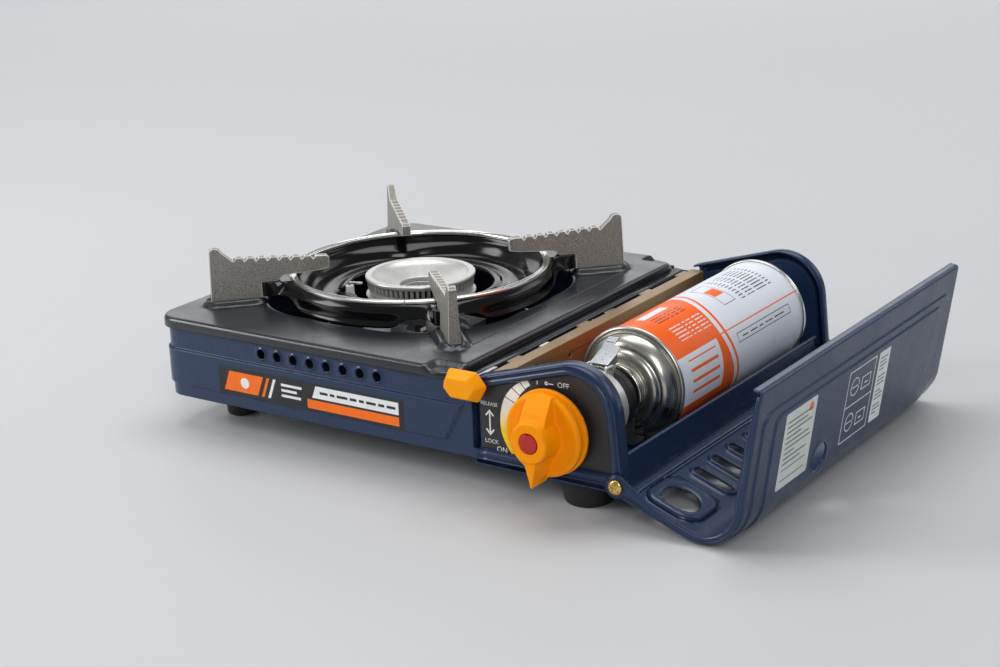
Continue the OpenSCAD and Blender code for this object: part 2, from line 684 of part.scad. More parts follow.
// Side view of one pan support as [distance from the burner axis, height]
module prong2d() {
    top_out = prong_z - 6.8;
    top_in = prong_z - 10;
    function crest(r) = top_in + (top_out - top_in) * (r - tip_r) / (horn_r - 6 - tip_r);
    teeth = [for (i = [0:tooth_count - 1]) let (r = tip_r + 4 + i * tooth_pitch)
        each [[r, crest(r)], [r + tooth_pitch * 0.55, crest(r)], [r + tooth_pitch * 0.8, crest(r) - 1.9]]];
    polygon(concat(
        [[tip_r, rim_z + 3.4], [tip_r - 0.4, top_in - 1.6], [tip_r + 1.4, top_in]], teeth,
        [[horn_r - 5.4, top_out - 0.3], [horn_r - 1.6, top_out + 3], [horn_r + 0.6, prong_z - 0.8],
        [horn_r + 2.4, prong_z], [prong_r - 2.6, prong_z], [prong_r - 1, prong_z - 1.4],
        [prong_r, prong_foot_z],
        [leg_r, prong_foot_z], [leg_r, lobe_top_z + 0.02], [91, lobe_top_z + 0.02],
        [88, prong_under_z], [tip_r + 6, prong_under_z + 1.4]]));
}

// The casting is thicker at the foot than along the top
module prong() color("#a3a19c") at_burner() difference() {
    intersection() {
        translate([0, 5, 0]) rotate([90, 0, 0]) linear_extrude(10) prong2d();
        translate([50, 0, 0]) rotate([90, 0, 90]) linear_extrude(100)
            polygon([[-3.7, prong_foot_z - 1], [3.7, prong_foot_z - 1], [2.35, prong_z + 1],
                [-2.35, prong_z + 1]]);
    }
    translate([96, 0, lobe_top_z - 1]) cylinder(r = 1.6, h = 6.4, $fn = 32);
}

module turned_prong(a) color("#a3a19c") at_burner() rotate(a) translate([-burner_x, -burner_y, 0]) prong();
module prong_front_left() turned_prong(225);
module prong_front_right() turned_prong(315);
module prong_rear_left() turned_prong(135);
module prong_rear_right() turned_prong(45);

module prong_rivets() color("#cfd1d2") at_burner() each_diagonal() {
    translate([96, 0, lobe_top_z - sheet - 1.4]) cylinder(r = 3, h = 1.4, $fn = 32);
    translate([96, 0, lobe_top_z - sheet - 0.2]) cylinder(r = 1.6, h = 6, $fn = 32);
}

// ---------------------------------------------------------------- knob

// Extrudes a shape drawn in the YZ plane, half to each side of the knob axis
module across_knob(w) translate([knob_x - w / 2, 0, knob_z]) rotate([90, 0, 90]) linear_extrude(w)
    children();

module knob() color("#f07f0a") at_burner() difference() {
    union() {
        // flange, groove and dished body
        turned_y(knob_x, knob_z, knob_back) polygon([[0, 0], [knob_r, 0], [knob_r, 2], [knob_r - 0.8, 2.8],
            [knob_r - 2.4, 2.8], [knob_r - 2.4, 4], [knob_r - 1, 4.4], [knob_r - 1.2, 8.4],
            [knob_r - 2.4, 9.4],
            [knob_r - 4, 9.2], [13, 7], [0, 7]]);
        // boss
        turned_y(knob_x, knob_z, knob_back) polygon([[0, 6], [14.4, 6], [12.6, 13], [12.2, 21.6],
            [11.6, 22.4], [0, 22.4]]);
        // grip that falls from the boss to the upper edge
        across_knob(17) polygon([[knob_back - 6, 0], [knob_back - 22, 0], [knob_back - 21.6, 9],
            [knob_back - 19, 12], [knob_back - 9.6, knob_r - 2.6], [knob_back - 6, knob_r - 2.6]]);
        // pointed lower end
        intersection() {
            xz(-153, -134) polygon([[knob_x - 9.4, knob_z], [knob_x - 8, knob_z - 16],
                [knob_x, knob_z - 28.4],
                [knob_x + 8, knob_z - 16], [knob_x + 9.4, knob_z]]);
            across_knob(20) polygon([[knob_back - 6, 0], [knob_back - 22, 0], [knob_back - 22, -10],
                [knob_back - 15.6, -28.6], [knob_back - 11, -28.6], [knob_back - 6, -22]]);
        }
    }
    rod_y(knob_x, knob_z, 5.7, -154, -150.6);
    rod_y(knob_x, knob_z, 3, -150, -126, 32);
    // notch that shows the setting
    xz(-156, knob_back - 5) translate([knob_x, knob_z + knob_r - 2]) circle(r = 2.2, $fn = 32);
}

module knob_plug() color("#c22a1c") at_burner() difference() {
    rod_y(knob_x, knob_z, 5.6, -153.2, -150.6);
    for (s = [-1, 1]) translate([knob_x, -152.6, knob_z + s * 5.6]) rotate([0, 45, 0])
        cube([1.6, 1.6, 1.6], center = true);
}

module knob_spindle() color("#b9b9b9") at_burner() rod_y(knob_x, knob_z, 3, -149.8, -106.4, 32);

// ---------------------------------------------------------------- canister lock

module lock_lever() color("#f07f0a") at_burner() {
    hull() {
        xz(-133.1, -131.9) polygon([[lever_x - 16.6, lever_z - 0.6], [lever_x - 12, lever_z + 9],
            [lever_x + 6, lever_z + 9], [lever_x + 12.6, lever_z + 1], [lever_x + 7, lever_z - 8.6],
            [lever_x - 9.6, lever_z - 8.6]]);
        xz(-139.9, -139.3) polygon([[lever_x - 12, lever_z - 0.4], [lever_x - 9.4, lever_z + 5.6],
            [lever_x + 3.4, lever_z + 5.6], [lever_x + 8.6, lever_z + 0.6], [lever_x + 4.6, lever_z - 5.4],
            [lever_x - 7.4, lever_z - 5.4]]);
    }
    translate([lever_x - 1.3, -132.1, lever_z - 6]) cube([2.6, 7.5, 9]);
}

module lever_plate() color("#a9acaf") at_burner() difference() {
    translate([lever_x - 1.3, -124.6, lever_z - 12]) cube([2.6, 20, 15]);
    translate([lever_x - 2, -112, lever_z - 5]) rotate([0, 90, 0]) cylinder(r = 2.2, h = 6, $fn = 32);
}

// The link passes under the shield and carries the holder
module lever_link() color("#8f9296") at_burner() {
    translate([134.4, -100, 22]) cube([2, 36.4, 12]);
    translate([134.4, -65.6, 22]) cube([44.1, 2, 6]);
}

// The holder draws the canister forward by its flange when the lever goes down
module canister_holder() color("#b7babd") at_burner() difference() {
    union() {
        translate([can_x - 9, -65.6, 22]) cube([18, 1.4, 24]);
        translate([can_x - 9, -65.6, 20]) cube([18, 12, 2]);
    }
    rod_y(can_x, can_z, flange_r - 1.2, -70, -60, 72);
}

// ---------------------------------------------------------------- canister

module canister_body() color("#e8762a") at_burner() difference() {
    rod_y(can_x, can_z, can_r - 1.2, seam_y + 2.4, base_y - 2.4, 96);
    rod_y(can_x, can_z, can_r - 2, seam_y + 1, base_y - 1, 96);
}

// Half of a double seam, a small rounded bead at the end of the can
seam_bead = [[can_r - 3.2, -0.6], [can_r - 3.2, -2.4], [can_r - 1.2, -2.4], [can_r - 0.4, -2.4],
    [can_r, -1.9], [can_r, 0], [can_r - 0.5, 0.6], [can_r - 1.4, 0.6]];

module canister_dome() color("#d6d8da") at_burner()
    turned_y(can_x, can_z, seam_y) polygon(concat(seam_bead, [
        [can_r - 2.4, -0.4], [can_r - 3.4, -0.6], [can_r - 4, 1], [can_r - 7, 6.4], [can_r - 9.6, 8.2],
        [can_r - 11, 8.6], [can_r - 13, 10.4], [neck_r, 11.6], [neck_r, 15.9], [flange_r, 15.9],
        [flange_r, 18.4], [flange_r - 1, 18.9], [neck_r - 0.6, 18.9], [neck_r - 0.6, 11],
        [can_r - 13.4, 9.6],
        [can_r - 11.4, 7.8], [can_r - 7.6, 5.6], [can_r - 4.8, 0.4], [can_r - 4.2, -1.6]]));

module canister_base() color("#c9ccce") at_burner() translate([can_x, base_y, can_z]) rotate([-90, 0, 0])
    rotate_extrude($fn = 96) polygon(concat(seam_bead, [
        [can_r - 2.4, -0.4], [can_r - 3.6, -2], [24, -4.6], [12, -7], [0, -7.8], [0, -8.6], [12, -7.8],
        [24.4, -5.4], [can_r - 3.2, -3.2]]));

module canister_valve() color("#caa64c") at_burner() {
    turned_y(can_x, can_z, seam_y - 11) polygon([[0, 0], [neck_r - 0.6, 0], [neck_r - 0.6, 5], [8, 5.6],
        [6, 8],
        [0, 8]]);
    rod_y(can_x, can_z, stem_r, -74, seam_y - 18, 32);
}

// ---------------------------------------------------------------- lid

raise = 0.9;
bend_steps = 24;
end_step = 124;
mid_step = 119;
flange_h = 4.5;

// A point on the side panel, u from the hinge, and one on the printed panel, u from its tip,
// both o outside the lid's edge
function side_at(u, o) = [hinge_x, hinge_z] + (lid_offset + o) * dir2(lid_side_angle - 90)
    + u * dir2(lid_side_angle);
function top_at(u, o) = lid_tip - u * dir2(lid_top_angle) + o * dir2(lid_top_angle - 90);

// Everything inside the lid's skin where the skin lies o outside its edge and bends at radius r.
// Near the hinge and near the free edge the skin comes back to the line low. A shape that is
// taken away runs past the ends by e.
module lid_fill(o, r, low = 0, e = 0) {
    corner = lid_corner + o / cos(lid_bend / 2) * dir2(lid_side_angle - 90 + lid_bend / 2);
    c = corner + r / cos(lid_bend / 2) * dir2(lid_side_angle + 90 + lid_bend / 2);
    bend = [for (k = [0:bend_steps]) c + r * dir2(lid_side_angle - 90 + lid_bend * k / bend_steps)];
    polygon(concat([side_at(3 - e, low), side_at(6, low), side_at(8, o)],
        bend, [top_at(22, o), top_at(19, low),
        top_at(-e, low), top_at(-e, -20 - e), lid_corner + (62 + 3 * e)
            * dir2(lid_side_angle + 90 + lid_bend / 2),
        side_at(3 - e, -12 - e)]));
}

// The skin between two such lines, from y0 to y1 at both ends of the lid
module lid_skin(y0, y1, o1, r1, l1, o0, r0, l0) for (m = [0, 1]) mirror([0, m, 0]) xz(-y1, -y0)
    difference() {
    lid_fill(o1, r1, l1);
    lid_fill(o0, r0, l0, 1);
}

// Places a shape on the side panel: X runs away from the hinge, Y along the hinge
module on_side() translate([hinge_x, 0, hinge_z]) rotate([0, lid_droop, 0]) translate([0, 0, -lid_offset])
    children();

// Places a shape on the printed panel: X runs up the panel to 0 at the free edge, Y along the hinge
module on_top_panel() translate([lid_tip[0], 0, lid_tip[1]]) rotate([0, -lid_top_angle, 0]) children();

module round_rect(l, w, r) {
    square([l - 2 * r, w], center = true);
    square([l, w - 2 * r], center = true);
    for (x = [-1, 1], y = [-1, 1]) translate([x * (l / 2 - r), y * (w / 2 - r)]) circle(r = r, $fn = 48);
}

hole_y = -100.5;
slot_first = -66;
slot_pitch = 21;
slot_count = 8;
module lid() color("#2d3a55") at_burner() {
    r0 = lid_bend_r;
    r1 = r0 + 2;
    r2 = r0 + 4;
    skin = -sheet;
    difference() {
        union() {
            lid_skin(end_step, lid_half, 0, r0, 0, skin, r0 - sheet, skin);
            lid_skin(end_step - sheet, end_step, raise, r1, 0, skin, r0 - sheet, skin);
            lid_skin(mid_step, end_step - sheet, raise, r1, 0, raise - sheet, r1 - sheet, skin);
            lid_skin(mid_step - sheet, mid_step, 2 * raise, r2, 0, raise - sheet, r1 - sheet, skin);
            lid_skin(0, mid_step - sheet, 2 * raise, r2, 0, 2 * raise - sheet, r2 - sheet, skin);
            // hem along the free edge
            on_top_panel() translate([-sheet, -lid_half, 0]) cube([sheet, lid_l, 6]);
            // raised edges round the hole and the slots
            on_side() translate([0, 0, sheet - 2 * raise - 0.2]) {
                translate([26, hole_y + 1.5, 0]) linear_extrude(1.2) difference() {
                    round_rect(32, 34, 10);
                    round_rect(29.4, 31.4, 8.7);
                }
                for (i = [0:slot_count - 1]) translate([26.6, slot_first + slot_pitch * i, 0])
                    linear_extrude(1.2) difference() {
                        slot2d(31, 11.4);
                        slot2d(28.4, 8.8);
                    }
            }
            // beads near both ends of the printed panel
            for (m = [-1, 1]) on_top_panel() translate([-64, m * 109.5, -2 * raise])
                rotate([0, 90, 0]) cylinder(r = 1, h = 38, $fn = 24);
        }
        on_side() translate([0, 0, -8]) {
            translate([26, hole_y, 0]) cylinder(r = 11.8, h = 20);
            for (i = [0:slot_count - 1]) translate([27.6, slot_first + slot_pitch * i, 0]) linear_extrude(12)
                slot2d(26, 7);
        }
        on_top_panel() translate([-66, -45.7, -8]) cylinder(r = 9, h = 12);
    }
    // turned-in ends, which widen into the ears of the hinge
    for (m = [0, 1]) mirror([0, m, 0]) difference() {
        xz(-lid_half, sheet - lid_half) {
            difference() {
                lid_fill(-0.4, r0 - 0.4, -0.4);
                lid_fill(-flange_h, r0 - flange_h, -flange_h, 1);
                translate([lid_tip[0], lid_tip[1]]) circle(r = 26);
            }
            translate([hinge_x, hinge_z]) circle(r = 7);
            polygon([[hinge_x, hinge_z] + 7 * dir2(60), side_at(30, -flange_h - 0.5), side_at(20, -0.6),
                side_at(1, -0.6)]);
        }
        rod_y(hinge_x, hinge_z, 2.06, -lid_half - 4, 4 - lid_half, 32);
    }
}

module hinge_screws() color("#c9a95a") at_burner() for (s = [0, 1]) mirror([0, s, 0]) {
    rod_y(hinge_x, hinge_z, 2, -131.8, -121, 32);
    difference() {
        turned_y(hinge_x, hinge_z, -131.7) polygon([[0, 0], [4.4, 0], [4.2, 1.2], [3, 2], [0, 2.3]]);
        for (a = [0, 90]) translate([hinge_x, -134.3, hinge_z]) rotate([0, a + 20, 0])
            cube([4.6, 2.6, 0.9], center = true);
    }
}

base_case();
bottom_plate();
compartment_floor();
canister_rail();
heat_shield();
shield_clips();
top_plate();
front_bulkhead();
rear_bulkhead();
control_plate();
foot_front_left();
foot_front_right();
foot_rear_left();
foot_rear_right();
foot_screws();
burner_bracket();
burner_base();
burner_head();
mixing_tube();
gas_jet();
igniter_electrode();
electrode_pin();
igniter_lead();
piezo_igniter();
regulator_body();
regulator_cover();
regulator_bracket();
canister_socket();
latch_pin();
latch_tab();
latch_spring();
drip_pan();
pan_rim_ring();
prong_front_left();
prong_front_right();
prong_rear_left();
prong_rear_right();
prong_rivets();
knob();
knob_plug();
knob_spindle();
lock_lever();
lever_plate();
lever_link();
canister_holder();
canister_body();
canister_dome();
canister_base();
canister_valve();
lid();
hinge_screws();
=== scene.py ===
"""Looks of the butane cassette stove: materials, detailed pieces, prints, camera and light."""

import json
from math import (atan2, copysign, cos, degrees, exp, hypot, pi, radians, remainder, sin, sqrt, tan, tau)

import bpy
from mathutils import Matrix, Vector
from mathutils.geometry import delaunay_2d_cdt


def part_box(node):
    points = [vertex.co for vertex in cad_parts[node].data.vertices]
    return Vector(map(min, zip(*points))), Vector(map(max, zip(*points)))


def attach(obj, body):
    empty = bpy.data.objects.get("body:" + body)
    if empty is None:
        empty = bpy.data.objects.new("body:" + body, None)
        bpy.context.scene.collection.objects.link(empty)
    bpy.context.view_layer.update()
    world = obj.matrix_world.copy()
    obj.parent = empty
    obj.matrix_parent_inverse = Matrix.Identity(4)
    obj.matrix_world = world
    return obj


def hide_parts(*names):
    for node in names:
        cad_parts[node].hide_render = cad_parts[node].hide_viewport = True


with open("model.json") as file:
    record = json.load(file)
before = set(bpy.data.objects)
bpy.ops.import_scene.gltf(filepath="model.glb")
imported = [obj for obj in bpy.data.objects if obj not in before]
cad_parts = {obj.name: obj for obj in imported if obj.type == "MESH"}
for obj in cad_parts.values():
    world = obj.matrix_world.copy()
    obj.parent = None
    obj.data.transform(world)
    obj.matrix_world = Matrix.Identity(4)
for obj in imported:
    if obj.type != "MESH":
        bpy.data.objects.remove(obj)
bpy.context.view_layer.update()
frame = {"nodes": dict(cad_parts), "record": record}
NODES = frame["nodes"]


# ---- frame of the source, in millimetres
# Most places are given from the burner axis, x to the right, y to the back, z up from the table.
PLATE = {"left": -113.2, "right": 117.8, "half": 128.5, "z": 72.0, "low": 65.5}
CAN_X, CAN_Z = 187.5, 52.0
KNOB_X, KNOB_Z = 182.5, 48.2
plate_lo, plate_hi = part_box("top_plate")
BURNER = Vector((plate_lo.x - PLATE["left"] / 1000, (plate_lo.y + plate_hi.y) / 2, 0.0))


def at(x, y, z):
    """A point given in millimetres from the burner axis, as metres in the frame."""
    return BURNER + Vector((x, y, z)) / 1000


# ---- materials


def srgb(r, g, b):
    """A colour given as 0 to 255, as the linear numbers a shader takes."""
    def one(v):
        v = v / 255
        return v / 12.92 if v <= 0.04045 else ((v + 0.055) / 1.055) ** 2.4
    return (one(r), one(g), one(b), 1.0)


def shaded(c, k):
    return (min(1, c[0] * k), min(1, c[1] * k), min(1, c[2] * k), 1.0)


class Nodes:
    """Short names for making and joining nodes in one material."""

    def __init__(self, name):
        self.mat = bpy.data.materials.new(name)
        self.mat.use_nodes = True
        self.tree = self.mat.node_tree
        self.shader = self.tree.nodes["Principled BSDF"]
        self.coords = self.add("ShaderNodeTexCoord").outputs["Object"]

    def add(self, kind, **values):
        node = self.tree.nodes.new(kind)
        for key, value in values.items():
            setattr(node, key, value)
        return node

    def feed(self, socket, value):
        """Sets a plain value on a socket, or links another node's output to it."""
        if isinstance(value, (float, int, tuple)):
            socket.default_value = value
        else:
            self.tree.links.new(value, socket)

    def noise(self, scale, detail=3.0, stretch=None):
        node = self.add("ShaderNodeTexNoise")
        node.inputs["Scale"].default_value = scale
        node.inputs["Detail"].default_value = detail
        source = self.coords
        if stretch:
            mapping = self.add("ShaderNodeMapping")
            mapping.inputs["Scale"].default_value = stretch
            self.feed(mapping.inputs["Vector"], source)
            source = mapping.outputs["Vector"]
        self.feed(node.inputs["Vector"], source)
        return node.outputs["Fac"]

    def place(self):
        """The three coordinates of the point, each as an output."""
        split = self.add("ShaderNodeSeparateXYZ")
        self.feed(split.inputs[0], self.coords)
        return split.outputs

    def spread(self, value, low, high, start=0.3, end=0.7):
        node = self.add("ShaderNodeMapRange")
        for name, limit in (("From Min", start), ("From Max", end), ("To Min", low), ("To Max", high)):
            node.inputs[name].default_value = limit
        self.feed(node.inputs["Value"], value)
        return node.outputs["Result"]

    def mix(self, factor, a, b):
        node = self.add("ShaderNodeMix", data_type="RGBA")
        for number, value in ((0, factor), (6, a), (7, b)):  # the colour sockets of the Mix node
            self.feed(node.inputs[number], value)
        return node.outputs[2]

    def math(self, operation, a, b=0.0, clamp=False):
        node = self.add("ShaderNodeMath", operation=operation, use_clamp=clamp)
        self.feed(node.inputs[0], a)
        self.feed(node.inputs[1], b)
        return node.outputs[0]

    def bump(self, height, strength, distance):
        node = self.add("ShaderNodeBump")
        node.inputs["Strength"].default_value = strength
        node.inputs["Distance"].default_value = distance
        self.feed(node.inputs["Height"], height)
        return node.outputs["Normal"]

    def set(self, **values):
        names = {"rough": "Roughness", "metal": "Metallic", "color": "Base Color", "coat": "Coat Weight",
                 "coat_rough": "Coat Roughness", "normal": "Normal", "specular": "Specular IOR Level"}
        for key, value in values.items():
            self.feed(self.shader.inputs[names[key]], value)

    def mottled(self, scale, color, tint, detail=3):
        """A colour that wanders a little lighter and darker."""
        return self.mix(self.spread(self.noise(scale, detail), 0, 1), shaded(color, 1 - tint), shaded(color, 1 + tint))


def paint(name, color, rough, peel=0.12, peel_scale=900, coat=0.0, tint=0.07, rough_var=0.06, specular=0.5,
          metallic=0.0):
    """Sprayed paint: orange peel, slight mottling and uneven gloss."""
    n = Nodes(name)
    n.set(color=n.mottled(22, color, tint, 4), rough=n.spread(n.noise(60, 5), rough - rough_var, rough + rough_var),
          normal=n.bump(n.noise(peel_scale, 2), peel, 0.0001), coat=coat, coat_rough=0.15, specular=specular,
          metal=metallic)
    return n.mat


def metal(name, color, rough, brushed=None, grain=0.05, grain_scale=700, tint=0.05, rough_var=0.06):
    """Bare or plated metal, brushed along one axis where asked."""
    n = Nodes(name)
    fine = n.noise(grain_scale, 3, stretch=brushed)
    n.set(color=n.mottled(30, color, tint), metal=1.0,
          rough=n.spread(fine, max(0.02, rough - rough_var), rough + rough_var), normal=n.bump(fine, grain, 0.0001))
    return n.mat


def cast(name, color, rough, pits=0.5, scale=650, metallic=0.6, speckle=0.34):
    """Cast metal with a speckled, grainy skin."""
    n = Nodes(name)
    speck = n.noise(scale, 4)
    broad = n.noise(45, 4)
    base = n.mix(n.spread(speck, 0, 1, 0.38, 0.62), shaded(color, 1 - speckle), shaded(color, 1 + 0.7 * speckle))
    n.set(color=n.mix(n.spread(broad, 0, 0.35), base, shaded(color, 0.8)), metal=metallic,
          rough=n.spread(speck, rough - 0.12, rough + 0.12),
          normal=n.bump(speck, pits, 0.00025))
    return n.mat


def plastic(name, color, rough, grain=0.08, specular=0.5):
    """Moulded plastic or ceramic with a fine grain."""
    n = Nodes(name)
    n.set(color=n.mottled(35, color, 0.04), rough=n.spread(n.noise(90, 4), rough - 0.06, rough + 0.06),
          normal=n.bump(n.noise(1400, 2), grain, 0.00008), specular=specular)
    return n.mat


def printed_can(name):
    """Lacquered tin with a generic print: orange field, white band with plain bars, thin lines."""
    n = Nodes(name)
    point, axis = n.place(), at(CAN_X, 0, CAN_Z)
    # turn round the canister in radians, and metres from its shoulder
    angle = n.math("ARCTAN2", n.math("SUBTRACT", point["Z"], axis.z), n.math("SUBTRACT", point["X"], axis.x))
    along = n.math("SUBTRACT", point["Y"], axis.y - 0.052)

    def within(value, low, high):
        return n.math("MULTIPLY", n.math("GREATER_THAN", value, low), n.math("LESS_THAN", value, high))

    def both(a, b):
        return n.math("MULTIPLY", a, b)

    def area(low, high, start, end):
        return both(within(along, low, high), within(angle, start, end))

    def field(base, tone, *span):
        return n.mix(area(*span), base, tone)

    rows = within(n.math("FRACT", n.math("MULTIPLY", angle, 13.0)), 0.3, 0.62)
    words = n.math("GREATER_THAN", n.noise(1, 1, stretch=(0.01, 260, 0.01)), 0.46)
    dashes = both(rows, words)

    def text(base, tone, *span):
        return n.mix(both(area(*span), dashes), base, tone)

    def box(base, tone, low, high, start, end):
        ring = n.math("SUBTRACT", area(low, high, start, end),
                      area(low + 0.0005, high - 0.0005, start + 0.015, end - 0.015))
        return n.mix(ring, base, tone)

    orange, white, dark = srgb(248, 98, 0), srgb(222, 226, 234), srgb(38, 36, 40)
    wave = n.math("ADD", along, n.math("MULTIPLY", n.math("SINE", n.math("MULTIPLY", angle, 2.0)), 0.006))
    color = n.mix(within(wave, 0.062, 0.170), orange, white)
    color = n.mix(within(wave, 0.066, 0.0685), color, orange)
    color = field(color, white, 0.0, 0.050, -0.35, 0.55)
    stripes = within(n.math("FRACT", n.math("MULTIPLY", angle, 5.2)), 0.2, 0.5)
    color = n.mix(both(area(0.014, 0.046, -0.25, 0.45), stripes), color, orange)
    for mark, tone, *span in ((text, white, 0.018, 0.054, 0.80, 1.16), (text, dark, 0.018, 0.050, 1.30, 1.52),
                              (field, white, 0.018, 0.046, 1.62, 1.80), (text, dark, 0.098, 0.138, 0.95, 1.80),
                              (box, dark, 0.080, 0.094, 1.00, 1.75), (field, orange, 0.052, 0.170, 0.560, 0.585),
                              (box, dark, 0.072, 0.140, 0.26, 0.44), (text, dark, 0.078, 0.134, 0.31, 0.39),
                              (field, orange, 0.0815, 0.0925, 1.25, 1.5)):
        color = mark(color, tone, *span)
    worn = n.mix(n.spread(n.noise(26, 4), 0, 0.10), color, srgb(150, 150, 150))
    n.set(color=worn, rough=n.spread(n.noise(70, 4), 0.3, 0.4), specular=0.12,
          normal=n.bump(n.noise(900, 2), 0.02, 0.0001))
    return n.mat


M = {
    "navy_paint": paint("navy_satin_paint", srgb(33, 51, 81), 0.27, peel=0.02, coat=0.08, tint=0.04, specular=0.34),
    "grey_paint": paint("grey_satin_paint", srgb(24, 29, 35), 0.3, peel=0.04, peel_scale=1100, coat=0.22, tint=0.04),
    "black_enamel": paint("black_enamel", srgb(7, 7, 8), 0.16, peel=0.02, coat=0.08, rough_var=0.04, specular=0.3),
    "plate_steel": metal("galvanised_steel", srgb(190, 192, 195), 0.32, grain=0.08, tint=0.1),
    "gold_steel": paint("gold_shield", srgb(140, 113, 76), 0.36, peel=0.04, metallic=0.35),
    "polished_steel": metal("polished_steel", srgb(208, 207, 203), 0.22, grain=0.02, rough_var=0.05),
    "cast_grey": cast("speckled_cast", srgb(150, 146, 139), 0.5, pits=0.25, scale=1500, metallic=0.3,
                      speckle=0.5),
    "cast_aluminium": cast("cast_aluminium", srgb(206, 205, 201), 0.38, pits=0.03, scale=900,
                           metallic=0.6, speckle=0.05),
    "black_rubber": plastic("black_rubber", srgb(20, 20, 22), 0.62, grain=0.2),
    "black_plastic": plastic("black_plastic", srgb(24, 24, 26), 0.45),
    "black_plate": paint("black_control_plate", srgb(36, 36, 38), 0.4, peel=0.05),
    "orange_plastic": plastic("orange_plastic", srgb(255, 150, 0), 0.42, grain=0.04, specular=0.12),
    "red_plastic": plastic("red_plastic", srgb(176, 26, 20), 0.3),
    "white_ceramic": plastic("white_ceramic", srgb(228, 224, 214), 0.3),
    "lead_sleeve": plastic("lead_sleeve", srgb(170, 60, 44), 0.5),
    "brass": metal("brass", srgb(206, 170, 96), 0.28, grain=0.04),
    "gold_screw": metal("gold_screw", srgb(222, 190, 112), 0.2, grain=0.03),
    "printed_can": printed_can("printed_can"),
}
# lighter material for the rounded edges of the pan supports: a painted highlight along the edges
CAST_EDGE_HIGHLIGHT = cast("painted_edge_highlight", srgb(226, 223, 216), 0.42, pits=0.05, metallic=0.0, speckle=0.05)
# near-black material of the sheets behind the flame ports and the vent holes: painted shade
PORT_SHADE = cast("painted_port_shade", srgb(20, 19, 18), 0.8, pits=0.2, metallic=0.0)
DRAWN_STEEL = metal("drawn_steel", srgb(186, 183, 175), 0.3, brushed=(0.02, 1, 0.02), grain=0.1, grain_scale=500,
                    rough_var=0.08)
DULL_STEEL = metal("dull_steel", srgb(74, 77, 84), 0.45, grain=0.08)
LEVER_ORANGE = plastic("lever_orange", srgb(255, 160, 0), 0.4, grain=0.03, specular=0.18)

slot_of = {s["node"]: s["material_slot"] for s in frame["record"]["subparts"]}
for node, obj in NODES.items():
    obj.data.materials.clear()
    obj.data.materials.append(LEVER_ORANGE if node == "lock_lever" else M[slot_of[node]])

# ---- rounded edges on the CAD solids


def soften(obj, width, edge=None):
    """Joins the mesh's split corners, rounds its edges by a width in millimetres and shades it smoothly; an edge
    material on the rounded faces paints a highlight along them.
    """
    mesh = obj.data
    for name in [a.name for a in mesh.attributes if a.name == "custom_normal"]:
        mesh.attributes.remove(mesh.attributes[name])
    mesh.shade_smooth()
    weld = obj.modifiers.new("join", "WELD")
    weld.merge_threshold = 1e-6
    if width:
        bevel = obj.modifiers.new("edges", "BEVEL")
        bevel.width = width / 1000
        bevel.segments = 2
        bevel.limit_method = "ANGLE"
        bevel.angle_limit = radians(32)
        bevel.use_clamp_overlap = False
        bevel.miter_outer = "MITER_ARC"
        if edge:
            # the rounded faces take the lighter edge material: painted highlight
            mesh.materials.append(edge)
            bevel.material = 1
    normals = obj.modifiers.new("shading", "WEIGHTED_NORMAL")
    normals.keep_sharp = True


# a finer piece below stands in for these
REPLACED = {"base_case", "bottom_plate", "lid", "knob", "canister_dome", "pan_rim_ring", "drip_pan", "top_plate",
            "front_bulkhead", "rear_bulkhead"}
PRONGS = {"prong_front_left", "prong_front_right", "prong_rear_left", "prong_rear_right"}
USUAL_WIDTH = 0.35
WIDTHS = {"igniter_lead": 0, "latch_spring": 0, "lock_lever": 1.1, "latch_tab": 0.25, "canister_base": 0.2,
          "canister_body": 0, "electrode_pin": 0.2, "shield_clips": 0.2, **{prong: 0.45 for prong in PRONGS}}
for node, obj in NODES.items():
    if node not in REPLACED:
        soften(obj, WIDTHS.get(node, USUAL_WIDTH), CAST_EDGE_HIGHLIGHT if node in PRONGS else None)

# ---- making pieces


def direction(angle):
    return cos(radians(angle)), sin(radians(angle))


def polar(u, v, r, angle):
    """The point at a distance r from (u, v) in a direction given in degrees."""
    c, s = direction(angle)
    return u + r * c, v + r * s


def smooth(value):
    """0 below 0, 1 above 1 and an even rise between."""
    t = min(1.0, max(0.0, value))
    return t * t * (3 - 2 * t)


def lerp(a, b, t):
    return a + (b - a) * t


def evenly(low, high, count):
    return [lerp(low, high, k / count) for k in range(count + 1)]


def between(a, b, count):
    """Points on the way from a to b, without either."""
    return [(lerp(a[0], b[0], k / count), lerp(a[1], b[1], k / count)) for k in range(1, count)]


def loft(loops, closed=True, flip=False):
    """Corners and faces of the skin between loops of equally many points."""
    count = len(loops[0])
    faces = []
    for j in range(len(loops) - 1):
        for i in range(count if closed else count - 1):
            a, b = j * count + i, j * count + (i + 1) % count
            face = (a, b, b + count, a + count)
            faces.append(face[::-1] if flip else face)
    return [p for loop in loops for p in loop], faces


def joined(*shapes):
    """Several sets of corners and faces as one."""
    verts, faces = [], []
    for more, more_faces in shapes:
        base = len(verts)
        verts += more
        faces += [tuple(base + i for i in face) for face in more_faces]
    return verts, faces


def linked(name, data):
    """A new object of the scene."""
    obj = bpy.data.objects.new(name, data)
    bpy.context.scene.collection.objects.link(obj)
    return obj


def piece(name, shape, body, slot, *nodes, material=None, thick=0.0, sharp=35, even=False):
    """A piece from corners in millimetres and faces; with thick it becomes a sheet of that thickness."""
    mesh = bpy.data.meshes.new(name)
    mesh.from_pydata([at(*v) for v in shape[0]], [], shape[1])
    mesh.update()
    mesh.shade_smooth()
    mesh.set_sharp_from_angle(angle=radians(sharp))
    mesh.materials.append(material or M[slot])
    obj = linked(name, mesh)
    if thick:
        solid = obj.modifiers.new("sheet", "SOLIDIFY")
        solid.thickness = thick / 1000
        solid.offset = -1
        solid.use_even_offset = even
    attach(obj, body)
    if nodes:
        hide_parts(*nodes)
    return obj


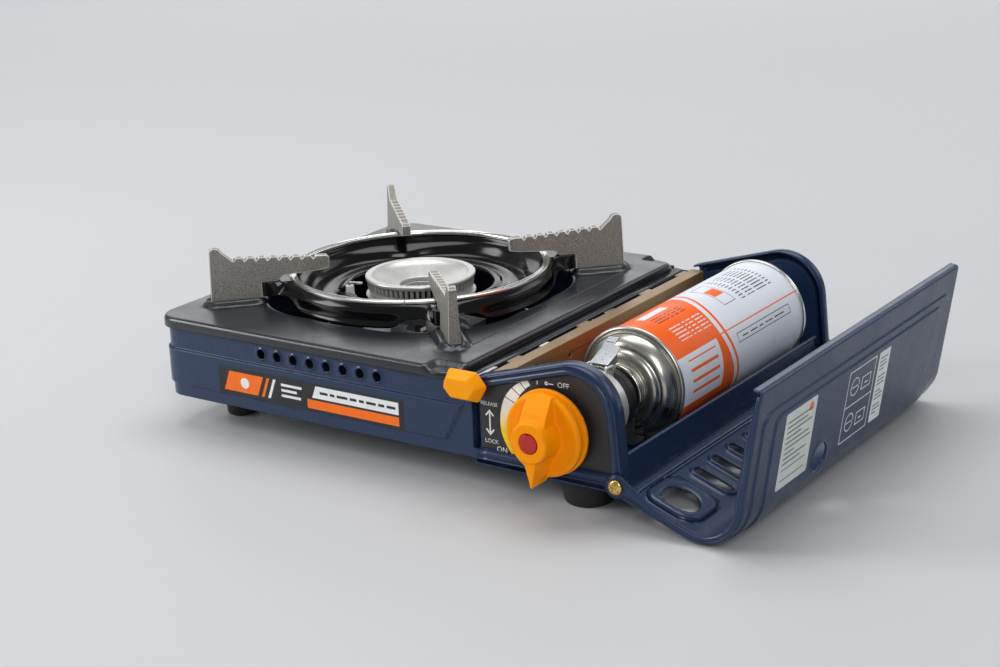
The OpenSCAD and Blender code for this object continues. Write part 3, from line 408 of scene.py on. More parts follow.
def turned(profile, axis=None):
    """A profile of (radius, height) turned about the burner axis, or about a line along y, in millimetres."""
    segments = 96
    turn = [direction(360 * i / segments) for i in range(segments)]
    if axis:
        return loft([[(axis[0] + r * c, h, axis[1] + r * s) for c, s in turn] for r, h in profile])
    return loft([[(r * c, r * s, h) for c, s in turn] for r, h in profile])


def eased(points, steps=4):
    """A smooth line through points of the plane."""
    out = []
    for i in range(len(points) - 1):
        a, b, c, d = (points[max(0, i - 1)], points[i], points[i + 1], points[min(len(points) - 1, i + 2)])
        for k in range(steps):
            t = k / steps
            out.append(tuple(0.5 * (2 * q + (r - p) * t + (2 * p - 5 * q + 4 * r - s) * t * t
                                    + (3 * q - p - 3 * r + s) * t ** 3) for p, q, r, s in zip(a, b, c, d)))
    return out + [points[-1]]


# ---- sheets with pressed forms and holes


def inside(u, v, outline):
    """Whether a point of the plane lies inside an outline."""
    hit = False
    for (u0, v0), (u1, v1) in zip(outline, outline[1:] + outline[:1]):
        if (v0 > v) != (v1 > v) and u < u0 + (v - v0) * (u1 - u0) / (v1 - v0):
            hit = not hit
    return hit


class Slot:
    """A slot along u, or a round hole where half is 0; its rim is pressed out over the width lip."""
    opened = True

    def __init__(self, u, v, half, r, lip=2.2):
        self.u, self.v, self.half, self.r, self.lip = u, v, half, r, lip

    def away(self, u, v):
        near = min(self.u + self.half, max(self.u - self.half, u))
        return hypot(u - near, v - self.v) - self.r

    def ring(self, out):
        return [polar(self.u + way * self.half, self.v, self.r + out, start + 15 * k)
                for way, start in ((1, -90), (-1, 90)) for k in range(13)]

    def rings(self):
        return [self.ring(self.lip * k / 4) for k in range(5)]


class Plateau:
    """A rounded rectangle pressed out of the sheet, its slope as wide as lip."""
    opened = False

    def __init__(self, u, v, half_u, half_v, r, lip):
        self.u, self.v, self.half_u, self.half_v, self.r, self.lip = u, v, half_u, half_v, r, lip

    def away(self, u, v):
        du, dv = abs(u - self.u) - self.half_u + self.r, abs(v - self.v) - self.half_v + self.r
        return hypot(max(du, 0), max(dv, 0)) + min(0, max(du, dv)) - self.r

    def rings(self):
        out = []
        for k in range(5):
            o = self.lip * (k / 4 - 0.5)
            out.append(rounded(self.u - self.half_u - o, self.u + self.half_u + o, self.v - self.half_v - o,
                               self.v + self.half_v + o, self.r + o, 8))
        return out


def pressed(u_lines, v_lines, outline, features, place, flip=False):
    """Corners and faces of a sheet drawn flat in (u, v) and laid in space by place."""
    points, edges = [], []

    def add(loop):
        base = len(points)
        points.extend(loop)
        edges.extend((base + i, base + (i + 1) % len(loop)) for i in range(len(loop)))

    rim = []
    for (u0, v0), (u1, v1) in zip(outline, outline[1:] + outline[:1]):
        cuts = {0.0}
        if abs(u1 - u0) > 1e-6:
            cuts |= {(u - u0) / (u1 - u0) for u in u_lines}
        if abs(v1 - v0) > 1e-6:
            cuts |= {(v - v0) / (v1 - v0) for v in v_lines}
        rim += [(lerp(u0, u1, t), lerp(v0, v1, t)) for t in sorted(cuts) if 0 <= t < 0.9999]
    add(rim)
    for feature in features:
        for loop in feature.rings():
            add(loop)

    def plain(u, v):
        return inside(u, v, outline) and all(f.away(u, v) > f.lip + 0.5 or (not f.opened and f.away(u, v) < -f.lip)
                                             for f in features)

    grid = {}
    for i, u in enumerate(u_lines):
        for j, v in enumerate(v_lines):
            if plain(u, v):
                grid[i, j] = len(points)
                points.append((u, v))
    # straight links between neighbours keep the steps of the sheet crisp
    for (i, j), number in grid.items():
        for i2, j2 in ((i + 1, j), (i, j + 1)):
            if (i2, j2) in grid and plain((u_lines[i] + u_lines[i2]) / 2, (v_lines[j] + v_lines[j2]) / 2):
                edges.append((number, grid[i2, j2]))
    corners, _, triangles, _, _, _ = delaunay_2d_cdt([Vector(p) for p in points], edges, [], 0, 1e-4)
    holes = [f for f in features if f.opened]
    faces = []
    for triangle in triangles:
        u = sum(corners[i].x for i in triangle) / 3
        v = sum(corners[i].y for i in triangle) / 3
        if inside(u, v, outline) and all(f.away(u, v) > -0.02 for f in holes):
            faces.append(tuple(triangle[::-1] if flip else triangle))
    used = sorted({i for face in faces for i in face})
    number = {old: new for new, old in enumerate(used)}
    return ([place(corners[i].x, corners[i].y) for i in used],
            [tuple(number[i] for i in face) for face in faces])


# ---- drip pan, its ring and the top plate


def pan_outline():
    """Points round the pan: polar angle, share of lobe, place along the lobe's side and the lobe's own outline."""
    out = []
    reach, half = 86.5, 24
    c, s = direction(half)
    start = (reach * c, reach * s)
    side = [start, (start[0] + 14 * s, start[1] - 14 * c), (89.5, 7.4), (96.6, 7.0)]

    def bezier(t):
        w = ((1 - t) ** 3, 3 * t * (1 - t) ** 2, 3 * t * t * (1 - t), t ** 3)
        return sum(a * p[0] for a, p in zip(w, side)), sum(a * p[1] for a, p in zip(w, side))

    corner = [polar(96.6, 2.2, 4.8, a) for a in (68, 45, 22, 0)]
    upper = [(bezier(i / 11), i / 11) for i in range(12)] + [(p, 1.0) for p in corner]
    lobe = [((u, -v), s) for (u, v), s in upper] + [((101.4, 0.0), 1.0)] + [((u, v), s) for (u, v), s in upper[::-1]]
    for quarter in range(4):
        c, s = direction(45 + 90 * quarter)
        for (u, v), along in lobe:
            x, y = u * c - v * s, u * s + v * c
            out.append((atan2(y, x), smooth(along / 0.34), along, (x, y)))
        for i in range(1, 15):
            angle = radians(45 + 90 * quarter + half + (90 - 2 * half) * i / 15)
            out.append((angle, 0.0, 0.0, (reach * cos(angle), reach * sin(angle))))
    return out


def off_lobe(angle):
    """Degrees from the nearest lobe."""
    return (degrees(angle) % 90) - 45


def drip_pan():
    """Black pan: rounded lip, flat ring, step, wavy wall, then the skirt with a spout under each support."""
    # radius, height and how far the lobes draw each of them down
    bowl = [(46.9, 71.9), (46.6, 73.2), (47.3, 74.3), (49.0, 74.7), (50.8, 74.3), (52.0, 73.4), (53.4, 72.8),
            (54.8, 73.1), (56.2, 73.9), (59.5, 74.1), (62.6, 74.0), (63.9, 73.5), (65.0, 72.0, 0.2),
            (66.6, 71.3, 0.4), (69.0, 71.2, 0.8), (71.2, 72.0, 1.2, 0.2), (72.7, 73.8, 1.6, 0.4),
            (73.7, 76.2, 1.9, 0.6), (75.0, 78.0, 1.9, 0.9), (76.6, 79.1, 1.4, 0.9), (78.0, 80.2, 0.7, 0.5),
            (78.8, 81.6, 0.2, 0.1), (79.2, 83.2), (80.2, 84.4)]
    skirt = [(81.3, 84.6), (83.0, 84.5), (83.7, 83.7), (84.9, 82.5), (85.9, 80.9), (85.9, 79.2), (85.3, 77.0),
             (85.1, 74.6), (85.7, 72.4), (86.8, 70.9)]
    spout = [None, None, 0.1, 0.3, 0.5, 0.66, 0.8, 0.9, 0.97, 1.0]
    igniter = radians(226.8)
    outline = pan_outline()
    loops = []
    for r, z, *waves in bowl:
        wave_r, wave_z = (waves + [0, 0])[:2]
        loop = []
        for angle, _, _, _ in outline:
            away = off_lobe(angle)
            wave = cos(radians(4 * away)) + 0.9 * exp(-(away / 7) ** 2)
            turn = degrees(remainder(angle - igniter, tau))
            notch = exp(-(turn / 7.5) ** 4) * max(0.0, 53.4 - r)
            q = r - wave_r * wave + notch
            loop.append((q * cos(angle), q * sin(angle), z - wave_z * wave))
        loops.append(loop)
    for (r, z), lobe in zip(skirt, spout):
        loop = []
        for angle, share, along, (ox, oy) in outline:
            c, s = cos(angle), sin(angle)
            x, y, h = r * c, r * s, z
            if lobe and share:
                # the spout slopes down beside the support and ends in an upright nose
                low = lerp(71, 77.4, smooth(along / 0.45)) - 1.6 * smooth((along - 0.7) / 0.3)
                nose = smooth((along - 0.8) / 0.2)
                fall = lerp(lobe ** 1.4, smooth((lobe - 0.8) / 0.2), nose)
                out = lerp(lobe, min(1.0, lobe * 1.25), nose)
                lx, ly = lerp(84.0 * c, ox, out), lerp(84.0 * s, oy, out)
                x, y, h = lerp(x, lx, share), lerp(y, ly, share), lerp(z, lerp(84.7, low, fall), share)
            loop.append((x, y, h))
        loops.append(loop)
    piece("drip_pan_sheet", loft(loops, flip=True), "pan_unit", "black_enamel", "drip_pan", thick=0.6, sharp=60)


def rim_ring():
    """Polished band round the pan: a flat top between two rolled edges, with its seam at one side."""
    profile = [(79.05, 84.4), (78.95, 85.6), (79.2, 86.4), (79.7, 86.75), (80.3, 86.6), (80.9, 86.2), (81.7, 86.1),
               (82.4, 86.35), (82.9, 86.75), (83.35, 86.5), (83.5, 85.7), (83.45, 84.9), (83.1, 84.3),
               (82.0, 84.0), (80.2, 84.0)]
    segments, seam, gap = 168, 300, 0.25
    loops = []
    for r, z in profile + profile[:1]:
        loop = []
        for i in range(segments + 1):
            angle = seam + gap + (360 - 2 * gap) * i / segments
            lift = 0.35 * smooth((angle - seam - 352) / 5)
            c, s = direction(angle)
            loop.append(((r - lift) * c, (r - lift) * s, z - lift * 0.5))
        loops.append(loop)
    verts, faces = loft(loops, closed=False, flip=True)
    count = segments + 1
    ends = [[j * count + k for j in range(len(profile))] for k in (0, segments)]
    faces += [ends[0][::-1], ends[1]]
    piece("rim_ring_band", (verts, faces), "pan_unit", "polished_steel", "pan_rim_ring", sharp=50)


PLATE_LINE = [polar(x - copysign(r, x), y - copysign(r, y), r, a + 90 * k / 14)
              for x, y, r, a in ((PLATE["right"], PLATE["half"], 14, 0), (PLATE["left"], PLATE["half"], 16, 90),
                                 (PLATE["left"], -PLATE["half"], 16, 180), (PLATE["right"], -PLATE["half"], 14, 270))
              for k in range(15)]


def plate_edge(angle):
    """Distance from the burner axis to the plate's outer edge."""
    c, s = cos(angle), sin(angle)
    for (x0, y0), (x1, y1) in zip(PLATE_LINE, PLATE_LINE[1:] + PLATE_LINE[:1]):
        d0, d1 = c * y0 - s * x0, c * y1 - s * x1
        if d0 <= 0 < d1 or d1 <= 0 < d0:
            t = d0 / (d0 - d1)
            reach = lerp(x0, x1, t) * c + lerp(y0, y1, t) * s
            if reach > 0:
                return reach
    return PLATE["right"]


def opening_edge(angle):
    """Distance from the burner axis to the edge of the opening, with its four bulges."""
    opening_r, bulge_at, bulge_r = 88.5, 38, 60
    away = radians(off_lobe(angle))
    bulge = bulge_at * cos(away) + sqrt(bulge_r ** 2 - (bulge_at * sin(away)) ** 2)
    return max(opening_r, bulge)


# along a lobe's direction: the raised pad under a support, and the pocket for its foot
PAD, POCKET = Slot(118, 0, 11, 9.5), Slot(117.6, 0, 13.7, 4.9)


def plate_height(x, y, z):
    """Raised pads with a pocket for each foot, and the stepped corners beside the bay."""
    angle = atan2(y, x)
    r, away = hypot(x, y), radians(off_lobe(angle))
    u, v = r * cos(away), r * sin(away)
    if z > PLATE["z"] - 2.5:
        z += 3.6 * smooth((1.6 - PAD.away(u, v)) / 4.2)
        z -= 1.5 * smooth((0.7 - POCKET.away(u, v)) / 1.4)
    step = smooth((x - 96.8) / 2.2) * smooth((abs(y) - 115.6) / 2.2)
    return z - 2.6 * step * smooth((z - PLATE["low"]) / 5)


def top_plate():
    """The pressed top: rolled outer edge, raised pads, stepped corners, opening with a rolled-down edge."""
    # finer steps where the lobes are
    quarter = evenly(34, 56, 40)[:-1] + evenly(56, 124, 36)[:-1]
    angles = [radians(a + 90 * k) for k in range(4) for a in quarter]
    edge = [(0, 65.5), (0, 67.6), (0.05, 69.6), (0.35, 70.7), (1.0, 71.5), (2.0, 71.9), (3.2, 72.0)]
    lip = [(3.8, 72.0), (2.6, 71.9), (1.6, 71.5), (0.8, 70.8), (0.3, 69.8), (0.05, 68.4), (0, 67.2)]
    inner_steps = 30
    loops = []
    for inset, z in edge:
        loops.append([(plate_edge(a) - 1.12 * inset, a, z) for a in angles])
    for k in range(1, inner_steps):
        t = k / inner_steps
        loops.append([(lerp(plate_edge(a) - 3.6, opening_edge(a) + 3.8, t), a, 72.0) for a in angles])
    for inset, z in lip:
        loops.append([(opening_edge(a) + inset, a, z) for a in angles])
    loops = [[(r * cos(a), r * sin(a), z) for r, a, z in loop] for loop in loops]
    loops = [[(x, y, plate_height(x, y, z)) for x, y, z in loop] for loop in loops]
    # low flange along the bay, as a rolled strip
    strip = [(117.0, 66.9), (121.6, 66.7), (123.0, 66.4), (123.7, 65.6), (123.8, 64.4)]
    flange = loft([[(x, y, z) for x, z in strip] for y in (-123.4, -60, 0, 60, 123.4)], closed=False)
    piece("top_plate_sheet", joined(loft(loops), flange), "case", "grey_paint", "top_plate", thick=1.0, sharp=50)
    # pressed crease beside the opening
    rows = []
    for k in range(41):
        y = -98 + 196 * k / 40
        high = 0.45 * smooth(min(k, 40 - k) / 3)
        rows.append([(100.2 + dx, y, 71.9 + (0.1 + high) * lift) for dx, lift in
                     ((-1.0, -0.5), (-1.0, 0), (-0.55, 0.55), (0, 1), (0.35, 0.6), (0.6, 0), (0.6, -0.5))])
    verts, faces = loft(rows)
    faces += [tuple(range(6, -1, -1)), tuple(range(len(verts) - 7, len(verts)))]
    piece("plate_crease", (verts, faces), "case", "grey_paint", sharp=70)


# ---- bulkheads of the bay


def bulkhead_line(i, left):
    """The bulkhead's outline drawn in by i, from its lower left corner round to its upper left one."""
    lean, slope, corner, low, x_left, x_right, shoulder = 4, 16, 28, 22, 132.5, 226.8, 71
    nx, nz = direction(lean)
    tx, tz = direction(90 + slope)
    right = nx * x_right + nz * low - corner
    top = tx * x_left + tz * shoulder - corner
    det = nx * tz - nz * tx
    ox, oz = (right * tz - top * nz) / det, (top * nx - right * tx) / det
    r = corner - i
    x0, z0 = x_left + left, low + i
    foot = (right + corner - i - nz * z0) / nx
    small = max(1.2, 6 - i)
    points = [(lerp(x0, foot - small, k / 14), z0) for k in range(15)]
    points += [polar(foot - small, z0 + small, small, a) for a in (-72, -54, -36, -18, 0)]
    points += between(points[-1], (ox + r * nx, oz + r * nz), 5)
    points += [polar(ox, oz, r, a) for a in evenly(lean, 90 + slope, 20)]
    end = (x0, (top + corner - i - tx * x0) / tz)
    return points + between(points[-1], end, 10) + [end]


def bulkhead(name, node, sign):
    """Round-shouldered pressing: thin outer roll, groove, wide rounded bead and a recessed face."""
    profile = [(0, 120.8), (0, 127.2), (0.15, 128.6), (0.6, 129.5), (1.2, 129.75), (1.7, 129.4), (2.1, 128.8),
               (2.6, 128.8), (3.0, 129.4), (3.7, 130.0), (4.6, 130.2), (5.4, 129.9), (6.1, 129.2), (6.5, 128.2),
               (6.7, 127.0), (7.1, 126.4), (8.0, 126.2)]
    loops = [[(x, sign * y, z) for x, z in bulkhead_line(i, 0.2)] for i, y in profile]
    verts, faces = loft(loops, closed=False, flip=sign > 0)
    count = len(loops[0])
    face = [len(verts) - count + k for k in range(count)]
    faces.append(tuple(face[::-1] if sign > 0 else face))
    piece(name, (verts, faces), "case", "navy_paint", node, thick=1.1, sharp=40)


def painted_shade_walls():
    """Painted shade: near-black sheets behind the flame ports and behind the vent holes stand in for the shade inside
    them.
    """
    piece("burner_port_shade", turned([(32.3, 72.9), (32.3, 78.3)]), "case", "cast_aluminium", material=PORT_SHADE, thick=0.4,
          even=True)
    rows = [[(x, y, z) for x in (-38, 0, 36, 72)] for y, z in ((-118.5, 43), (-118.5, 66.5), (-117.0, 68.0))]
    piece("vent_shade_sheet", loft(rows, closed=False), "case", "black_plate", material=PORT_SHADE, thick=0.8, even=True)


def canister_dome():
    """Shoulder of the canister: rolled seam, rounded shoulder, steps and the collar with its flange."""
    seam, r = -51.6, 34.0
    line = eased([(r - 3.4, 0.9), (r - 3.2, -1.6), (r - 2.2, -2.4), (r - 0.8, -2.4), (r, -1.5), (r, -0.7),
                  (r - 0.8, 0.2), (r - 1.9, 0.3), (r - 2.8, -0.3), (r - 3.6, 0.4), (r - 4.2, 2.2), (r - 5.4, 4.6),
                  (r - 7.4, 6.8), (r - 9.4, 7.9), (r - 10.6, 7.9), (r - 11.4, 8.6), (r - 12.6, 10.1),
                  (r - 14.6, 11.0), (r - 16.8, 11.2), (r - 18.4, 11.0), (r - 19.3, 11.8), (14.5, 13.4),
                  (14.5, 15.2), (15.4, 16.0), (16.6, 16.1), (17.0, 16.8), (17.0, 18.0), (16.2, 18.8), (14.6, 18.9),
                  (13.9, 18.3), (13.9, 12.4)], 3)
    piece("canister_shoulder", turned([(q, seam - h) for q, h in line], (CAN_X, CAN_Z)), "canister",
          "polished_steel", "canister_dome", material=DRAWN_STEEL, thick=0.3, sharp=70)


drip_pan()
rim_ring()
painted_shade_walls()
canister_dome()
top_plate()
bulkhead("front_bulkhead_pressing", "front_bulkhead", -1)
bulkhead("rear_bulkhead_pressing", "rear_bulkhead", 1)

# ---- prints: thin films of ink on the surfaces

FILM = 0.06


def film(name, body, place, look, shapes):
    """Flat outlines (u, v) laid on a surface by place(u, v, height) as closed films."""
    slot, material = look
    films = []
    for outline in shapes:
        count = len(outline)
        area_sum = sum(a[0] * b[1] - b[0] * a[1] for a, b in zip(outline, outline[1:] + outline[:1]))
        points = outline if area_sum > 0 else outline[::-1]
        verts, faces = loft([[place(u, v, h) for u, v in points] for h in (0.02 + FILM, 0.0)], flip=True)
        films.append((verts, [tuple(range(count)), tuple(range(2 * count - 1, count - 1, -1)), *faces]))
    piece(name, joined(*films), body, slot, material=material, sharp=20)


def layer(place, number=1):
    """The same surface for a film over that many others."""
    return lambda u, v, h: place(u, v, h + 0.08 * number)


def box2(u0, u1, v0, v1, lean=0.0):
    """A rectangle whose upper side is shifted by lean."""
    return [(u0, v0), (u1, v0), (u1 + lean, v1), (u0 + lean, v1)]


def border(u0, u1, v0, v1, line=0.6):
    """The four sides of a frame."""
    return [box2(u0, u1, v0, v0 + line), box2(u0, u1, v1 - line, v1), box2(u0, u0 + line, v0 + line, v1 - line),
            box2(u1 - line, u1, v0 + line, v1 - line)]


def rounded(u0, u1, v0, v1, r, steps=5):
    return [polar(cu, cv, r, a + 90 * k / steps)
            for cu, cv, a in ((u1 - r, v0 + r, 270), (u1 - r, v1 - r, 0), (u0 + r, v1 - r, 90), (u0 + r, v0 + r, 180))
            for k in range(steps + 1)]


def disc(u, v, r, steps=24):
    return [polar(u, v, r, 360 * k / steps) for k in range(steps)]


def sector(u, v, r0, r1, a0, a1, steps):
    """A piece of a ring; its outer radius may be a pair for the two ends."""
    r1 = r1 if isinstance(r1, tuple) else (r1, r1)
    turn = [k / steps for k in range(steps + 1)]
    return ([polar(u, v, lerp(*r1, t), lerp(a0, a1, t)) for t in turn]
            + [polar(u, v, r0, lerp(a0, a1, t)) for t in turn[::-1]])


def letters(text, size, u, v):
    """A plain word such as ON or OFF on the control plate."""
    name = "word_" + text.lower()
    curve = bpy.data.curves.new(name, "FONT")
    curve.body, curve.size, curve.resolution_u = text, size, 3
    curve.align_x, curve.align_y = "CENTER", "CENTER"
    holder = linked(name + "_outline", curve)
    bpy.context.view_layer.update()
    flat = bpy.data.meshes.new_from_object(holder)
    bpy.data.objects.remove(holder)
    verts = [on_control(u + c.co.x, v + c.co.y, 0.08) for c in flat.vertices]
    faces = [tuple(f.vertices) for f in flat.polygons]
    slot, material = WHITE
    piece(name, (verts, faces), "case", slot, material=material, thick=FILM, sharp=20)


def ink(name, color, rough=0.4, second=None, low=0.0, high=1.0):
    """Printed ink with faint mottling; with a second colour it changes over a span of height."""
    n = Nodes(name)
    if second:
        base = n.mix(n.spread(n.place()["Z"], 0, 1, low / 1000, high / 1000), color, second)
    else:
        base = n.mix(n.spread(n.noise(160, 4), 0, 1), shaded(color, 0.93), shaded(color, 1.04))
    n.set(color=base, rough=n.spread(n.noise(90, 3), rough - 0.05, rough + 0.05),
          normal=n.bump(n.noise(700, 2), 0.04, 0.0001), specular=0.4)
    return n.mat


GREY_INK = ink("grey_ink", srgb(120, 124, 128))
# slot and material of each print
WHITE = ("white_ceramic", ink("white_ink", srgb(232, 234, 234)))
PALE = ("white_ceramic", GREY_INK)
GREY = ("black_plate", GREY_INK)
DARK = ("black_plate", ink("dark_ink", srgb(34, 35, 38)))
ORANGE = ("orange_plastic", ink("orange_ink", srgb(248, 112, 0)))
PAPER = ("white_ceramic", ink("sticker_paper", srgb(214, 219, 214), 0.5))
ARC = ("orange_plastic", ink("arc_ink", srgb(255, 214, 0), second=srgb(250, 250, 240), low=42, high=56))


def upright(y):
    """The surface of the case that faces forwards at y, with u as x and v as z."""
    return lambda u, v, h: (u, y - h, v)


on_front, on_control = upright(-128.0), upright(-127.0)

# ---- pieces with pressed forms: case, bottom plate, lid and knob


def case_wall():
    """Front, left side and back of the case in one sheet: stepped bands, slanted shoulders, lipped vent holes."""
    left, right, half, r = -112.0, 132.2, 128.0, 16.0
    foot, band_lo, band_mid, band_hi, top, tab = 21.0, 29.0, 36.8, 52.0, 65.4, 67.4
    step, lip, foot_in, wall_in, tab_in = 1.5, 0.8, 27, 4.6, 17.2
    straight, turn, side = right - left - r, r * pi / 2, 2 * (half - r)
    total = 2 * (straight + turn) + side
    vent_x, vent_pitch, vent_z, vent_r, vent_lip = -27.2, 12.6, 58.8, 3.3, 1.3
    vents = [Slot(right - vent_x - vent_pitch * k, vent_z, 0, vent_r, vent_lip) for k in range(8)]

    def place(p, z):
        q = min(p, total - p)
        if q < straight:
            x, y, nx, ny = right - q, -half, 0.0, -1.0
        elif q < straight + turn:
            a = (q - straight) / r
            nx, ny = -sin(a), -cos(a)
            x, y = left + r + r * nx, r - half + r * ny
        else:
            x, y, nx, ny = left, q - straight - turn + r - half, -1.0, 0.0
        if p > total / 2:
            y, ny = -y, -ny
        shoulder = (lerp(109, 113.3, (z - band_lo) / (band_mid - band_lo)) if z < band_mid
                    else lerp(113.3, 121.8, (z - band_mid) / (band_hi - band_mid)))
        wide = (smooth((z - band_lo) / 1.2 + 0.5) * smooth((band_hi - z) / 1.2 + 0.5)
                * smooth((shoulder - x) / 1.4 + 0.5))
        inset = step * (1 - wide)
        if p < straight:
            inset -= lip * smooth(1 - min(v.away(p, z) for v in vents) / vent_lip)
        return x - nx * inset, y - ny * inset, z

    p_lines = evenly(0, 8, 3) + evenly(8.6, 25.4, 28) + evenly(32, straight - 8, 24)
    p_lines += evenly(straight, straight + turn, 12) + evenly(straight + turn + 8, total / 2, 13)
    p_lines += [total - p for p in p_lines[:-1]]
    z_lines = [21, 22, 24, 26.4, 28.1] + evenly(28.4, 29.6, 6) + [30, 32, 36, 40, 44, 48, 50.6]
    z_lines += evenly(51.4, 52.6, 6) + [53, 54.2, 56, 58.8, 61.6, 64, 65.4, 67.4]
    edge = [(0, foot), (0, foot_in), (wall_in, foot_in), (wall_in, top), (tab_in, top), (tab_in, tab)]
    outline = edge[:1] + [(total - p, z) for p, z in edge] + edge[:0:-1]
    wall = pressed(p_lines, z_lines, outline, vents, place, flip=True)
    # inner partition beside the bay, with holes for the mixing tube and the igniter's lead
    deep, high = 124.8, 62
    holes = [Slot(-0.6 * 124.6, 54.4, 0, 12), Slot(-107, 28, 0, 2.4)]
    inner = pressed(evenly(-deep, deep, 20), evenly(foot, high, 4),
                    [(-deep, foot), (deep, foot), (deep, high), (-deep, high)], holes, lambda y, z: (125.2, y, z))
    piece("case_wall", joined(wall, inner), "case", "navy_paint", "base_case", thick=1.2, sharp=60)


def bottom_pressing():
    """Bottom plate with rounded corners, two rows of air slots and a hole in the middle."""
    left, right, half, r, z = -109.0, 126.0, 124.4, 13.0, 20.0
    slots = [Slot(row * 62, 24 * i + 6, 18.5, 3.5) for row in (-1, 1) for i in range(-3, 4)]
    corner = [polar(half - r, left + r, r, -a) for a in range(0, 91, 10)]
    outline = [(y, x) for y, x in corner] + [(-y, x) for y, x in corner[::-1]] + [(-half, right), (half, right)]
    shape = pressed(evenly(-120, 120, 13), evenly(-104, 122, 12), outline[::-1],
                    slots + [Slot(0, 0, 0, 9)], lambda y, x: (x, y, z))
    piece("bottom_pressing", shape, "case", "plate_steel", "bottom_plate", material=DULL_STEEL,
          thick=1.0, sharp=60)


# the lid in millimetres and degrees: droop of its flat by the hinge, bend to its printed panel, the bend's radius
HINGE_X, HINGE_Z = 224.0, 24.0
DROOP, BEND, BEND_R = 20.5, 101.2, 26.0
LID_OFFSET, LID_START, LID_STEP = 5.56, 3.0, 0.9
TANGENT = BEND_R * tan(radians(BEND / 2))
# lengths of the flat, of the bend and of the printed panel
FLAT, TURN, PANEL = 77.35 - TANGENT - LID_START, BEND_R * radians(BEND), 101.3 - TANGENT


def lid_line(s):
    """Point and outward direction of the lid's outer line, s from its edge by the hinge to its free edge."""
    along, out = direction(-DROOP), direction(-DROOP - 90)
    reach = LID_START + min(s, FLAT)
    x = HINGE_X + LID_OFFSET * out[0] + reach * along[0]
    z = HINGE_Z + LID_OFFSET * out[1] + reach * along[1]
    if s <= FLAT:
        return (x, z), out
    angle = -DROOP - 90 + BEND * min(1, (s - FLAT) / TURN)
    n, up = direction(angle), direction(angle + 90)
    x, z = polar(x - BEND_R * out[0], z - BEND_R * out[1], BEND_R, angle)
    rest = max(0.0, s - FLAT - TURN)
    return (x + rest * up[0], z + rest * up[1]), n


def on_lid(u, v, h):
    """u across the lid, v up its printed panel from the bend."""
    (x, z), n = lid_line(FLAT + TURN + v)
    lift = 2 * LID_STEP + h
    return x + lift * n[0], u, z + lift * n[1]


